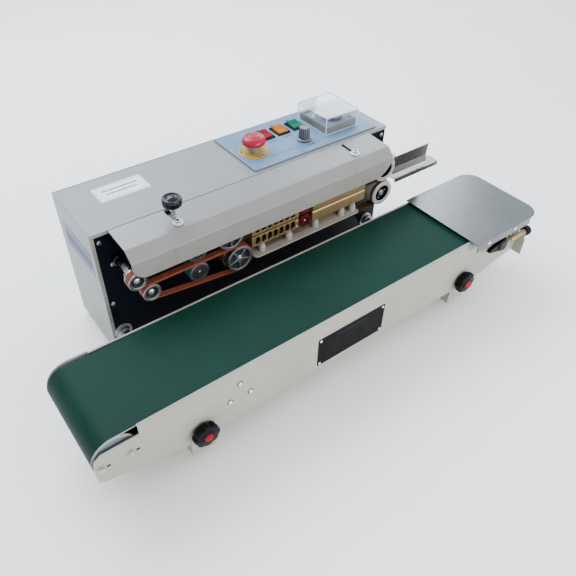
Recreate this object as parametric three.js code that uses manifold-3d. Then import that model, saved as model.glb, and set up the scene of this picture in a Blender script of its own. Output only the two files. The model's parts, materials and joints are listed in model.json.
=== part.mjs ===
// Benchtop continuous band sealer: sealing head in a sheet-metal cabinet, with a flat belt conveyor in front.
// Units are millimetres. +Z is up, +X runs along the machine to the infeed end, -Y is the operator's side.
import * as THREE from "three";
import { mergeVertices } from "three/addons/utils/BufferGeometryUtils.js";
import Module from "manifold-3d";

const wasm = await Module();
wasm.setup();

// ---------- driving dimensions ----------
const GAP = 0.3;                    // running or seating gap between neighbouring solids
const SHEET = 1.5;                  // folded sheet thickness

// cabinet
const CAB_LEFT = -298;
const CAB_RIGHT = 262;
const CAB_FRONT = 72;
const CAB_BACK = 204;
const CAB_BOTTOM = 9.3;
const CAB_TOP = 245;
const CAB_WALL = 2;
const BASE_T = 2;
const CAB_LIP = 6.3;                // width of the lip round the black panel
const PANEL_FRONT = 74.3;
const PANEL_T = 3;
const PANEL_BACK = PANEL_FRONT + PANEL_T;

// seal line and wheel train; wheel axes run along Y
const NIP = 178;
const NIP_HALF_GAP = 0.2;
const WHEEL_FACE = 7;               // front face of the wheels
const BELT_FRONT = 9;               // guide belts
const BELT_BACK = 19;
const BELT_T = 1.5;
const BAND_FRONT = 21;              // heat-proof sealing bands
const BAND_BACK = 35;
const BAND_T = 0.8;
const SHAFT_R = 4;
const SHAFT_END = 96;
const LOWER_BELT_TOP = NIP - NIP_HALF_GAP;
const UPPER_BELT_BOTTOM = NIP + NIP_HALF_GAP;
const DRIVE_R = 24;                 // outside radius of a belt or band on the large wheels
const PULLEY_R = 14.5;              // the same on the small guide pulleys
const PRINT_R = 16.8;
const PRESS_R = 12;
const WHEELS = {
  drive: { lowerX: -97.5, upperX: -111, r: DRIVE_R },
  infeed: { lowerX: 210.7, upperX: 210.7, r: DRIVE_R },
  pulley: { lowerX: -247, upperX: -265, r: PULLEY_R },
};
const PRINT_X = -167;
const PRESS_X = 36.5;

// blocks between the wheels
const BLOCK_FRONT = 15;
const BLOCK_BACK = 38;
const BLOCK_H = 19.2;
const HEAT_X0 = 51;
const HEAT_X1 = 168;
const COOL_X0 = -70;
const COOL_X1 = 22;

// hood over the sealing train
const HOOD_LEFT = -270.5;
const HOOD_RIGHT = 217;
const HOOD_T = 1.5;
const HOOD_BEND = 3.5;              // outside radius of its two bends
const HOOD_PROFILE = [[70.5, 245], [20, 242.3], [4, 228.5], [3, 199]];   // Y, Z down the outside
const HOOD_SLOT_LEFT_X = -182;
const HOOD_SLOT_RIGHT_X = 152;
const HOOD_SCREW_Y = 33;
const STEM_X = -183;
const STEM_Y = 42.3;
const STEM_R = 2.8;

// conveyor
const BELT_PLANE = 140;
const CONV_BELT_T = 2;
const CONV_BELT_FRONT = -164;
const CONV_BELT_BACK = -25;
const ROLLER_Z = 108;
const ROLLER_OUT_R = 32;            // outside of the belt on a roller
const HEAD_ROLLER_X = -394;
const TAIL_ROLLER_X = 363;
const RAIL_FRONT = -169;
const RAIL_BACK = -20;
const RAIL_TOP = 142;
const RAIL_BOTTOM = 43;
const RAIL_BEND = 4.7;              // radius of the bend along the top of a rail
const RAIL_LOW_BEND = 5;            // the same along its lower edges
const INSET = 0.03;                 // keeps joined sheets' faces from lying in one plane
const RAIL_LEFT = -424.3;
const RAIL_RIGHT = 383;
const ROD_LEFT_X = -280;
const ROD_RIGHT_X = 238.5;
const ROD_Z = 51;
const ROD_R = 8;
const RODS = [ROD_LEFT_X, ROD_RIGHT_X];   // rods, brackets and clamp knobs share these two places
const BRACKET_HALF = 18;
const KNOB_Z = 65;
const STUD_R = 4;
const TABLE_LEFT = 240;
const TABLE_RIGHT = 409;
const TABLE_FRONT = -184;
const TABLE_BACK = -20;
const TABLE_TOP = 146;
const TABLE_LIP = 15;

// controls on top
const CP_LEFT = -19;
const CP_RIGHT = 241;
const CP_FRONT = 78;
const CP_BACK = 200;
const CP_SEAT = 10;                 // width of the cabinet top that the panel rests on
const CP_BOTTOM = CAB_TOP + GAP;
const CP_TOP = CP_BOTTOM + 3;
const ESTOP_X = 14.4;
const ESTOP_Y = 129.6;
const ESTOP_R = 20;
const ROCKER_Y = 161;
const ROCKER_X = { red: 58.5, orange: 91, green: 123.5 };
const ROCKER_TILT = 8 * Math.PI / 180;
const SPEED_X = 106;
const SPEED_Y = 112;
const COVER = { x0: 144, x1: 217, y0: 100, y1: 180, top: 280, wall: 1.6 };
const DIAL_X = 180.5;
const DIAL_Y = 128;

// ---------- colours ----------
function finish(color, roughness, metalness = 0) {
  return new THREE.MeshStandardMaterial({ color, roughness, metalness });
}

const PAINT = 0xb9bab2;
const BLACK = 0x15161a;
const STEEL = 0xb4b6b8;
const BRASS = 0x9c8350;
const RUBBER = 0x222222;
const CASTING = 0x6f7478;
const SILICONE = 0x5a1620;
const INFEED_RIM = 0xc9cdcc;

// ---------- helpers ----------
const root = new THREE.Group();

// A closed geometry as a solid.
function solid(geometry) {
  const g = geometry.index ? geometry.clone() : geometry;
  g.deleteAttribute("normal");
  g.deleteAttribute("uv");
  const merged = mergeVertices(g, 1e-4);
  const vertProperties = new Float32Array(merged.attributes.position.array);
  const triVerts = new Uint32Array(merged.index.array);
  return new wasm.Manifold(new wasm.Mesh({ numProp: 3, vertProperties, triVerts }));
}

function toGeometry(manifold) {
  const mesh = manifold.getMesh();
  const g = new THREE.BufferGeometry();
  g.setAttribute("position", new THREE.BufferAttribute(new Float32Array(mesh.vertProperties), 3));
  g.setIndex(new THREE.BufferAttribute(new Uint32Array(mesh.triVerts), 1));
  g.computeVertexNormals();
  return g;
}

function addNode(name, shape, material) {
  const geometry = shape.isBufferGeometry ? shape : toGeometry(shape);
  const mesh = new THREE.Mesh(geometry, material);
  mesh.name = name;
  root.add(mesh);
}

// Box from its two corners.
function box(x0, x1, y0, y1, z0, z1) {
  const g = new THREE.BoxGeometry(x1 - x0, y1 - y0, z1 - z0);
  g.translate((x0 + x1) / 2, (y0 + y1) / 2, (z0 + z1) / 2);
  return solid(g);
}

// Cylinder along an axis, from one end to the other.
function rod(axis, a, b, r, from, to, segments = 16) {
  const g = new THREE.CylinderGeometry(r, r, to - from, segments);
  const mid = (from + to) / 2;
  if (axis === "y") g.translate(a, mid, b);
  if (axis === "z") g.rotateX(Math.PI / 2).translate(a, b, mid);
  if (axis === "x") g.rotateZ(Math.PI / 2).translate(mid, a, b);
  return solid(g);
}

// Turned body about an axis along Y through (cx, cz); the profile is [radius, y] pairs.
function turned(cx, cz, profile, segments = 20) {
  const g = new THREE.LatheGeometry(profile.map(([r, y]) => new THREE.Vector2(r, y)), segments);
  g.translate(cx, 0, cz);
  return asOutward(g);
}

// Turned body about a vertical axis through (cx, cy); the profile is [radius, z] pairs.
function turnedUp(cx, cy, profile, segments = 20) {
  const g = new THREE.LatheGeometry(profile.map(([r, z]) => new THREE.Vector2(r, z)), segments);
  g.rotateX(Math.PI / 2).translate(cx, cy, 0);
  return asOutward(g);
}

// Turned bodies come out inside out when their profile runs the other way round.
function asOutward(g) {
  const s = solid(g);
  if (s.volume() > 0) return s;
  const index = g.index.array;
  for (let i = 0; i < index.length; i += 3) {
    const keep = index[i];
    index[i] = index[i + 1];
    index[i + 1] = keep;
  }
  return solid(g);
}

// Prism along Y from an outline of [x, z] points, between two Y values.
function prismY(points, y0, y1) {
  const g = new THREE.ExtrudeGeometry(outline(points), { depth: y1 - y0, bevelEnabled: false });
  g.rotateX(Math.PI / 2).translate(0, y1, 0);
  return solid(g);
}

// Prism along X from an outline of [y, z] points, between two X values.
function prismX(points, x0, x1) {
  const g = new THREE.ExtrudeGeometry(outline(points), { depth: x1 - x0, bevelEnabled: false });
  g.rotateY(Math.PI / 2).rotateX(Math.PI / 2).translate(x0, 0, 0);
  return solid(g);
}

// Prism along Z from an outline of [x, y] points, between two Z values.
function prismZ(points, z0, z1) {
  const g = new THREE.ExtrudeGeometry(outline(points), { depth: z1 - z0, bevelEnabled: false });
  g.translate(0, 0, z0);
  return solid(g);
}

function outline(points) {
  return new THREE.Shape(points.map(([a, b]) => new THREE.Vector2(a, b)));
}

// Points of an arc; angles in degrees.
function arc(cx, cy, r, from, to, steps) {
  return Array.from({ length: steps + 1 }, (_, i) => {
    const a = THREE.MathUtils.degToRad(from + (to - from) * i / steps);
    return [cx + r * Math.cos(a), cy + r * Math.sin(a)];
  });
}

// The same open path with an arc of radius r in place of each corner.
function roundedPath(points, r, steps = 3) {
  const corners = points.slice(1, -1).flatMap((point, i) => {
    const corner = new THREE.Vector2(...point);
    const before = new THREE.Vector2(...points[i]).sub(corner).normalize();
    const after = new THREE.Vector2(...points[i + 2]).sub(corner).normalize();
    const half = Math.acos(before.dot(after)) / 2;
    const centre = before.clone().add(after).setLength(r / Math.sin(half)).add(corner);
    const start = before.setLength(r / Math.tan(half)).add(corner).sub(centre);
    const end = after.setLength(r / Math.tan(half)).add(corner).sub(centre);
    const turn = Math.atan2(start.cross(end), start.dot(end));
    return Array.from({ length: steps + 1 }, (_, k) => {
      const spot = start.clone().rotateAround(new THREE.Vector2(), turn * k / steps).add(centre);
      return [spot.x, spot.y];
    });
  });
  return [points[0], ...corners, points[points.length - 1]];
}

const joinAll = (parts) => parts.reduce((sum, part) => sum.add(part));
const cutAll = (body, tools) => tools.reduce((left, tool) => left.subtract(tool), body);

// Outline of a taut loop round two circles of any radius, left circle first, in X and Z.
function loopOutline(x0, z0, r0, x1, z1, r1, steps) {
  const length = Math.hypot(x1 - x0, z1 - z0);
  const tilt = THREE.MathUtils.radToDeg(Math.atan2(z1 - z0, x1 - x0));
  const lean = THREE.MathUtils.radToDeg(Math.acos((r0 - r1) / length));
  const left = arc(x0, z0, r0, tilt + lean, tilt + 360 - lean, steps);
  const right = arc(x1, z1, r1, tilt - lean, tilt + lean, steps);
  return [...left, ...right];
}

// Flat belt of thickness t round two circles, given by the outside radius.
function beltLoop(x0, z0, r0, x1, z1, r1, t, y0, y1, steps = 18) {
  const outer = prismY(loopOutline(x0, z0, r0, x1, z1, r1, steps), y0, y1);
  const inner = prismY(loopOutline(x0, z0, r0 - t, x1, z1, r1 - t, steps), y0 - 1, y1 + 1);
  return outer.subtract(inner);
}

// ---------- cabinet ----------
const CUT = 5;                      // how far a cutting tool passes through the sheet it cuts

function cabinetShell() {
  const body = box(CAB_LEFT, CAB_RIGHT, CAB_FRONT, CAB_BACK, CAB_BOTTOM, CAB_TOP);
  const wall = CAB_WALL;
  const lip = CAB_LIP - GAP;
  const seat = CP_SEAT;
  return cutAll(body, [
    box(CAB_LEFT + wall, CAB_RIGHT - wall, CAB_FRONT + wall, CAB_BACK + CUT, 0, CAB_TOP - wall),
    box(CAB_LEFT + lip, CAB_RIGHT + CUT, CAB_FRONT - CUT, PANEL_BACK + GAP, 0, CAB_TOP - lip),
    box(CP_LEFT + seat, CP_RIGHT - seat, CP_FRONT + seat, CP_BACK - seat, CAB_TOP - CUT, CAB_TOP + CUT),
  ]);
}

const FAN_X = 60;
const FAN_Z = 130;
const FAN_HALF = 40;
const FAN_DUCT_R = 36;
const INLET_X = -240;
const INLET_Z = 95;
const INLET_HALF = [14, 10];        // half width and half height of the inlet's body
const INLET_CUTOUT = [26, 22];      // the same of the cover's cut-out behind the inlet's flange
const INLET_FLANGE = [30, 26];
const INLET_FLANGE_T = 1.4;
const INLET_DEPTH = 20;
const INLET_WALL = 2;
const PIN_PITCH = 7;

// Rear cover with the fan's round opening and the inlet's cut-out.
function rearCover() {
  const y0 = CAB_BACK + GAP;
  const plate = box(CAB_LEFT, CAB_RIGHT, y0, y0 + CAB_WALL, CAB_BOTTOM, CAB_TOP);
  const fanHole = rod("y", FAN_X, FAN_Z, FAN_DUCT_R - 1, y0 - CUT, y0 + CUT, 20);
  return cutAll(plate, [fanHole, inletBox(INLET_CUTOUT, 0, y0 - CUT, y0 + CUT)]);
}

// Box about the inlet's centre line, grown by a margin.
function inletBox([halfX, halfZ], margin, y0, y1) {
  const hx = halfX + margin;
  const hz = halfZ + margin;
  return box(INLET_X - hx, INLET_X + hx, y0, y1, INLET_Z - hz, INLET_Z + hz);
}

// Mains inlet: flange outside, body inside, with the open socket facing back.
function powerInlet() {
  const coverFront = CAB_BACK + GAP;
  const flangeFront = coverFront + CAB_WALL + GAP;
  const flangeBack = flangeFront + INLET_FLANGE_T;
  const socketEnd = coverFront - INLET_DEPTH + CUT;
  const flange = inletBox(INLET_FLANGE, 0, flangeFront, flangeBack);
  const body = inletBox(INLET_HALF, 0, coverFront - INLET_DEPTH, flangeBack - 0.5);
  const socket = inletBox(INLET_HALF, -INLET_WALL, socketEnd, flangeBack + CUT);
  const pins = [-PIN_PITCH, 0, PIN_PITCH].map((dx) =>
    box(INLET_X + dx - 1, INLET_X + dx + 1, socketEnd - 1, flangeBack - 3, INLET_Z - 2, INLET_Z + 2));
  return joinAll([cutAll(joinAll([flange, body]), [socket]), ...pins]);
}

const wheelZ = (r, upper) => (upper ? UPPER_BELT_BOTTOM + r : LOWER_BELT_TOP - r);
const PRINT_Z_LOWER = LOWER_BELT_TOP - BELT_T - GAP - PRINT_R;
const PRINT_Z_UPPER = UPPER_BELT_BOTTOM + BELT_T + GAP + PRINT_R;
const PRESS_Z_LOWER = LOWER_BELT_TOP - BAND_T - GAP - PRESS_R;
const PRESS_Z_UPPER = UPPER_BELT_BOTTOM + BAND_T + GAP + PRESS_R;

const SHAFTS = [
  [WHEELS.drive.lowerX, wheelZ(DRIVE_R, false)],
  [WHEELS.drive.upperX, wheelZ(DRIVE_R, true)],
  [WHEELS.infeed.lowerX, wheelZ(DRIVE_R, false)],
  [WHEELS.infeed.upperX, wheelZ(DRIVE_R, true)],
  [WHEELS.pulley.lowerX, wheelZ(PULLEY_R, false)],
  [WHEELS.pulley.upperX, wheelZ(PULLEY_R, true)],
  [PRINT_X, PRINT_Z_LOWER],
  [PRINT_X, PRINT_Z_UPPER],
  [PRESS_X, PRESS_Z_LOWER],
  [PRESS_X, PRESS_Z_UPPER],
];

function frontPanel() {
  const plate = box(
    CAB_LEFT + CAB_LIP, CAB_RIGHT, PANEL_FRONT, PANEL_BACK, CAB_BOTTOM + BASE_T + 0.4, CAB_TOP - CAB_LIP);
  const hole = (x, z, r) => rod("y", x, z, r, PANEL_FRONT - CUT, PANEL_BACK + CUT, 12);
  const shaftHoles = SHAFTS.map(([x, z]) => hole(x, z, SHAFT_R + 1.2));
  const rodHoles = RODS.map((x) => hole(x, ROD_Z, ROD_R + 0.6));
  return cutAll(plate, [...shaftHoles, ...rodHoles]);
}

const ROD_FRONT = -158;
const ROD_BACK = 190;

// Two steel slide rods joined by a tie bar inside the cabinet.
function slideRods() {
  const rods = RODS.map((x) => rod("y", x, ROD_Z, ROD_R, ROD_FRONT, ROD_BACK));
  return joinAll([...rods, box(ROD_LEFT_X, ROD_RIGHT_X, ROD_BACK - 14, ROD_BACK - 2, ROD_Z - 6, ROD_Z + 6)]);
}

const FOOT_TOP = CAB_BOTTOM - GAP;
const FOOT_R = 11;
const FOOT_INSET = 32;
const FOOT_FRONT_Y = 94;
const FOOT_REAR_Y = 186;

// Two rubber pads on one mounting strip.
function footPair(y) {
  const x0 = CAB_LEFT + FOOT_INSET;
  const x1 = CAB_RIGHT - FOOT_INSET;
  const pads = [x0, x1].map((x) => rod("z", x, y, FOOT_R, 0, FOOT_TOP));
  return joinAll([...pads, box(x0, x1, y - 8, y + 8, FOOT_TOP - 2, FOOT_TOP)]);
}

function basePlate() {
  const side = CAB_WALL + GAP;
  return box(
    CAB_LEFT + side, CAB_RIGHT - side, PANEL_FRONT, CAB_BACK - GAP, CAB_BOTTOM, CAB_BOTTOM + BASE_T);
}

addNode("cabinet_shell", cabinetShell(), finish(PAINT, 0.45, 0.1));
addNode("rear_cover", rearCover(), finish(PAINT, 0.45, 0.1));
addNode("base_plate", basePlate(), finish(0x8d8f8c, 0.5, 0.4));
addNode("feet_front", footPair(FOOT_FRONT_Y), finish(RUBBER, 0.9));
addNode("feet_rear", footPair(FOOT_REAR_Y), finish(RUBBER, 0.9));
addNode("front_panel", frontPanel(), finish(BLACK, 0.18));
addNode("power_inlet", powerInlet(), finish(0x1b1b1d, 0.5));
addNode("slide_rods", slideRods(), finish(0xc4c6c8, 0.2, 1));

// ---------- inside the cabinet ----------
const GEARBOX = { x0: -175, x1: -75, y0: 104, y1: 168, z0: 140, z1: 222 };
const MOTOR_R = 30;
const MOTOR_END = 10;
const MOTOR_FOOT_INSET = 10;

// Gearbox on a foot that stands on the base plate, with the motor lying along X beside it.
function gearMotor() {
  const { x0, x1, y0, y1, z0, z1 } = GEARBOX;
  const motor = rod("x", (y0 + y1) / 2, NIP, MOTOR_R, x1 - 1, MOTOR_END, 20);
  const footBottom = CAB_BOTTOM + BASE_T + GAP;
  const foot = box(x0 + MOTOR_FOOT_INSET, x1 - MOTOR_FOOT_INSET, y0 + 6, y1 - 8, footBottom, z0 + 1);
  return joinAll([box(x0, x1, y0, y1, z0, z1), motor, foot]);
}

const FAN_FRONT = 174;
const FAN_BACK = 199;
const FAN_HUB_R = 14;

function coolingFan() {
  const half = FAN_HALF;
  const frame = box(FAN_X - half, FAN_X + half, FAN_FRONT, FAN_BACK, FAN_Z - half, FAN_Z + half);
  const duct = rod("y", FAN_X, FAN_Z, FAN_DUCT_R, FAN_FRONT - 2, FAN_BACK + 2, 24);
  const hub = rod("y", FAN_X, FAN_Z, FAN_HUB_R, FAN_FRONT + 2, FAN_BACK - 2);
  const spokes = [0, 1, 2].map((i) => {
    const a = i * 2 * Math.PI / 3 + Math.PI / 6;
    const g = new THREE.BoxGeometry(half, 3, 4);
    g.translate(half / 2, 0, 0).rotateY(-a).translate(FAN_X, FAN_FRONT + 4, FAN_Z);
    return solid(g);
  });
  return joinAll([frame.subtract(duct), hub, ...spokes]);
}

addNode("gear_motor", gearMotor(), finish(CASTING, 0.5, 0.6));
addNode("cooling_fan", coolingFan(), finish(0x1a1a1c, 0.6));

// ---------- wheels ----------
const SPOKES = 5;

// Profile from the back of a wheel to the end of its shaft.
function wheelTail(y) {
  return [[SHAFT_R, y], [SHAFT_R, SHAFT_END], [0, SHAFT_END]];
}

// Large spoked wheel: the guide belt runs on its front rim, the sealing band on the track behind.
function driveWheel(x, upper) {
  const z = wheelZ(DRIVE_R, upper);
  const rim = DRIVE_R - BELT_T - GAP;
  const track = DRIVE_R - BAND_T - GAP;
  const dish = WHEEL_FACE + 6;
  const step = (BELT_BACK + BAND_FRONT) / 2;
  const wheel = turned(x, z, [
    [0, WHEEL_FACE], [7, WHEEL_FACE], [7, dish], [18.5, dish], [18.5, WHEEL_FACE], [rim, WHEEL_FACE],
    [rim, step], [track, step], [track, BAND_BACK + 1], ...wheelTail(BAND_BACK + 1),
  ], 36);
  const spokes = Array.from({ length: SPOKES }, (_, i) => {
    const g = new THREE.BoxGeometry(14, dish - WHEEL_FACE, 3);
    g.translate(12.5, 0, 0).rotateY(i * 2 * Math.PI / SPOKES);
    g.translate(x, WHEEL_FACE + 0.8 + (dish - WHEEL_FACE) / 2, z);
    return solid(g);
  });
  return joinAll([wheel, ...spokes]);
}

const INFEED_FACE = 13;

function infeedWheel(x, upper) {
  const track = DRIVE_R - BAND_T - GAP;
  const face = INFEED_FACE;
  return turned(x, wheelZ(DRIVE_R, upper), [
    [0, face + 2], [5, face + 2], [5, face + 6], [15, face + 6], [15.5, face], [track - 0.8, face],
    [track, face + 1], [track, BAND_BACK + 1], ...wheelTail(BAND_BACK + 1),
  ], 32);
}

function guidePulley(x, upper) {
  const rim = PULLEY_R - 0.4;
  const groove = PULLEY_R - BELT_T - GAP;
  return turned(x, wheelZ(PULLEY_R, upper), [
    [0, WHEEL_FACE], [4, WHEEL_FACE], [5, WHEEL_FACE + 4], [9.5, WHEEL_FACE + 4], [10, WHEEL_FACE],
    [rim, WHEEL_FACE], [rim, BELT_FRONT - GAP], [groove, BELT_FRONT - GAP], [groove, BELT_BACK + GAP],
    [rim, BELT_BACK + GAP], [rim, BELT_BACK + 2.3], [6, BELT_BACK + 2.3], [6, 40], ...wheelTail(40),
  ]);
}

const PRINT_FACE = 11;              // behind the front edge of the guide belts

function printRoller(x, z) {
  const face = PRINT_FACE;
  return turned(x, z, [
    [0, face], [5, face], [6, face + 1.5], [14, face + 1.5], [14.5, face],
    [PRINT_R - 1.2, face], [PRINT_R, face + 1.2], [PRINT_R, BAND_BACK], ...wheelTail(BAND_BACK),
  ]);
}

const PRESS_FACE = 16;

function pressWheel(x, z) {
  const face = PRESS_FACE;
  return turned(x, z, [
    [0, face + 1], [4, face + 1], [4.5, face + 2.5], [7, face + 2.5], [7.5, face],
    [PRESS_R, face], [PRESS_R, BAND_BACK + 2], ...wheelTail(BAND_BACK + 2),
  ], 18);
}

const steelWheel = finish(STEEL, 0.3, 1);
addNode("drive_wheel_lower", driveWheel(WHEELS.drive.lowerX, false), steelWheel);
addNode("drive_wheel_upper", driveWheel(WHEELS.drive.upperX, true), steelWheel);
addNode("infeed_wheel_lower", infeedWheel(WHEELS.infeed.lowerX, false), finish(INFEED_RIM, 0.45, 0.4));
addNode("infeed_wheel_upper", infeedWheel(WHEELS.infeed.upperX, true), finish(INFEED_RIM, 0.45, 0.4));
addNode("guide_pulley_lower", guidePulley(WHEELS.pulley.lowerX, false), steelWheel);
addNode("guide_pulley_upper", guidePulley(WHEELS.pulley.upperX, true), steelWheel);
addNode("print_roller_lower", printRoller(PRINT_X, PRINT_Z_LOWER), finish(0x2e6f68, 0.7));
addNode("print_wheel_upper", printRoller(PRINT_X, PRINT_Z_UPPER), steelWheel);
addNode("press_wheel_lower", pressWheel(PRESS_X, PRESS_Z_LOWER), finish(SILICONE, 0.6));
addNode("press_wheel_upper", pressWheel(PRESS_X, PRESS_Z_UPPER), finish(SILICONE, 0.6));

// ---------- belts and bands of the sealing train ----------
function trainLoop(from, to, upper, t, y0, y1) {
  const x0 = upper ? from.upperX : from.lowerX;
  const x1 = upper ? to.upperX : to.lowerX;
  return beltLoop(x0, wheelZ(from.r, upper), from.r, x1, wheelZ(to.r, upper), to.r, t, y0, y1);
}

for (const [side, upper] of [["lower", false], ["upper", true]]) {
  const belt = trainLoop(WHEELS.pulley, WHEELS.drive, upper, BELT_T, BELT_FRONT, BELT_BACK);
  addNode(`guide_belt_${side}`, belt, finish(0xa5553c, 0.7));
  const band = trainLoop(WHEELS.drive, WHEELS.infeed, upper, BAND_T, BAND_FRONT, BAND_BACK);
  addNode(`sealing_band_${side}`, band, finish(0x5b3a2a, 0.5));
}

// ---------- heating and cooling blocks, and the plates that carry them ----------
const blockFace = NIP_HALF_GAP + BAND_T + GAP;
const BLOCK_Z = {
  lower: [NIP - blockFace - BLOCK_H, NIP - blockFace],
  upper: [NIP + blockFace, NIP + blockFace + BLOCK_H],
};
const COOL_SLOTS = 7;
const COOL_SLOT_R = 3.8;
const COOL_SLOT_HALF = 6.8;         // half of a slot's height

function coolingSlot(x, z) {
  const reach = COOL_SLOT_HALF - COOL_SLOT_R;
  const points = [
    ...arc(x, z + reach, COOL_SLOT_R, 0, 180, 6),
    ...arc(x, z - reach, COOL_SLOT_R, 180, 360, 6),
  ];
  return prismY(points, BLOCK_FRONT - 1, BLOCK_BACK + 1);
}

function coolingBlock([z0, z1]) {
  const block = box(COOL_X0, COOL_X1, BLOCK_FRONT, BLOCK_BACK, z0, z1);
  const pitch = (COOL_X1 - COOL_X0) / (COOL_SLOTS + 1);
  const slots = Array.from({ length: COOL_SLOTS }, (_, i) =>
    coolingSlot(COOL_X0 + (i + 1) * pitch, (z0 + z1) / 2));
  return cutAll(block, slots);
}

for (const side of ["lower", "upper"]) {
  const [z0, z1] = BLOCK_Z[side];
  const heater = box(HEAT_X0, HEAT_X1, BLOCK_FRONT, BLOCK_BACK, z0, z1);
  addNode(`heating_block_${side}`, heater, finish(0xb59a5c, 0.3, 1));
  addNode(`cooling_block_${side}`, coolingBlock([z0, z1]), finish(BRASS, 0.4, 1));
}

const SHELF_LEFT = -68;
const SHELF_RIGHT = 155;
const SHELF_FRONT = 8;
const SHELF_T = 2;
const SHELF_Z = 139;
const UPPER_SHELF_Z = 213;
const POST_X = [-48, 6, 62, 120, 145];
const POST_Y = 20;
const POST_R = 4;

// Folded plate with a shelf and a flange against the black panel; posts reach to the blocks.
function supportPlate(shelfZ, flangeUp, postFrom, postTo) {
  const corner = 8;
  const shelf = prismZ([
    [SHELF_LEFT, PANEL_FRONT - GAP], ...arc(SHELF_LEFT + corner, SHELF_FRONT + corner, corner, 180, 270, 4),
    ...arc(SHELF_RIGHT - corner, SHELF_FRONT + corner, corner, 270, 360, 4), [SHELF_RIGHT, PANEL_FRONT - GAP],
  ], shelfZ, shelfZ + SHELF_T);
  const [f0, f1] = flangeUp ? [shelfZ, shelfZ + 12] : [shelfZ - 14, shelfZ + SHELF_T];
  const flange = box(SHELF_LEFT, SHELF_RIGHT, PANEL_FRONT - GAP - SHELF_T, PANEL_FRONT - GAP, f0, f1);
  const posts = POST_X.map((x) => rod("z", x, POST_Y, POST_R, postFrom, postTo, 10));
  return joinAll([shelf, flange, ...posts]);
}

const plateFinish = finish(PAINT, 0.5, 0.2);
const lowerPlate = supportPlate(SHELF_Z, false, SHELF_Z + 1, BLOCK_Z.lower[0] - GAP);
const upperPlate = supportPlate(UPPER_SHELF_Z, true, BLOCK_Z.upper[1] + GAP, UPPER_SHELF_Z + 1);
addNode("support_plate_lower", lowerPlate, plateFinish);
addNode("support_plate_upper", upperPlate, plateFinish);

// ---------- infeed guides ----------
const GUIDE_X0 = 236;
const GUIDE_UPPER_X1 = 322;
const GUIDE_LOWER_X1 = 350;
const GUIDE_LOWER_TOP = 175;
const GUIDE_UPPER_BOTTOM = 181;
const GUIDE_ARM = [240, 254];       // X range of the arm that carries each guide

function infeedGuideUpper() {
  const t = SHEET;
  const front = [[17.5, GUIDE_UPPER_BOTTOM], [20.5, 192.5], [18.5, 215.5]];
  const back = front.map(([y, z]) => [y + t, z]).reverse();
  const blade = prismX([...front, ...back], GUIDE_X0, GUIDE_UPPER_X1);
  return joinAll([blade, box(...GUIDE_ARM, 20, PANEL_FRONT - GAP, 205, 205 + t)]);
}

function infeedGuideLower() {
  const corner = 8;
  const x1 = GUIDE_LOWER_X1;
  const shelf = prismZ([
    [GUIDE_X0, 10], [x1 - 3, 10], ...arc(x1 - corner, 37 - corner, corner, 0, 90, 4), [GUIDE_X0, 37],
  ], GUIDE_LOWER_TOP - SHEET, GUIDE_LOWER_TOP);
  const lip = box(GUIDE_X0, x1 - 3, 10, 10 + SHEET, GUIDE_LOWER_TOP - 7, GUIDE_LOWER_TOP);
  const arm = box(...GUIDE_ARM, 30, PANEL_FRONT - GAP, GUIDE_LOWER_TOP - SHEET, GUIDE_LOWER_TOP);
  return joinAll([shelf, lip, arm]);
}

addNode("infeed_guide_upper", infeedGuideUpper(), finish(0x9a9692, 0.3, 1));
addNode("infeed_guide_lower", infeedGuideLower(), finish(0xb2aea6, 0.3, 1));

// ---------- hood, its hanger and the pressure knob ----------
const HOOD_CORNER_LEFT = 22;
const HOOD_CORNER_RIGHT = 40;
const HOOD_SLOT_HALF = 4.2;
const HANGER_Z = 233;
const HANGER_LEFT = [-196, -160];   // X ranges of the two hanger arms
const HANGER_RIGHT = [130, 166];

function hood() {
  const inside = HOOD_PROFILE.map(([y, z], i) => [y + (i > 0 ? HOOD_T : 0), z - (i < 2 ? HOOD_T : 0)]);
  const outerPath = roundedPath(HOOD_PROFILE, HOOD_BEND);
  const innerPath = roundedPath(inside, HOOD_BEND - HOOD_T).reverse();
  const sheet = prismX([...outerPath, ...innerPath], HOOD_LEFT, HOOD_RIGHT);
  const low = HOOD_PROFILE[3][1];
  const below = low - 3;
  const rightArcX = HOOD_RIGHT - HOOD_CORNER_RIGHT;
  const leftTrim = prismY([
    ...arc(HOOD_LEFT + HOOD_CORNER_LEFT, low + HOOD_CORNER_LEFT, HOOD_CORNER_LEFT, 180, 270, 6),
    [HOOD_LEFT + HOOD_CORNER_LEFT, below], [HOOD_LEFT - 3, below], [HOOD_LEFT - 3, low + HOOD_CORNER_LEFT],
  ], -5, 30);
  const rightTrim = prismY([
    [HOOD_RIGHT + 3, low + HOOD_CORNER_RIGHT], [HOOD_RIGHT + 3, below], [rightArcX, below],
    ...arc(rightArcX, low + HOOD_CORNER_RIGHT, HOOD_CORNER_RIGHT, 270, 360, 8),
  ], -5, 30);
  const slot = (x, half, back) => box(x - half, x + half, 30, back, HANGER_Z + 3, CAB_TOP + CUT);
  const slotRight = slot(HOOD_SLOT_RIGHT_X, 3, 67);
  const slotLeft = slot(HOOD_SLOT_LEFT_X, HOOD_SLOT_HALF, 75);
  return cutAll(sheet, [leftTrim, rightTrim, slotRight, slotLeft]);
}

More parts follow.
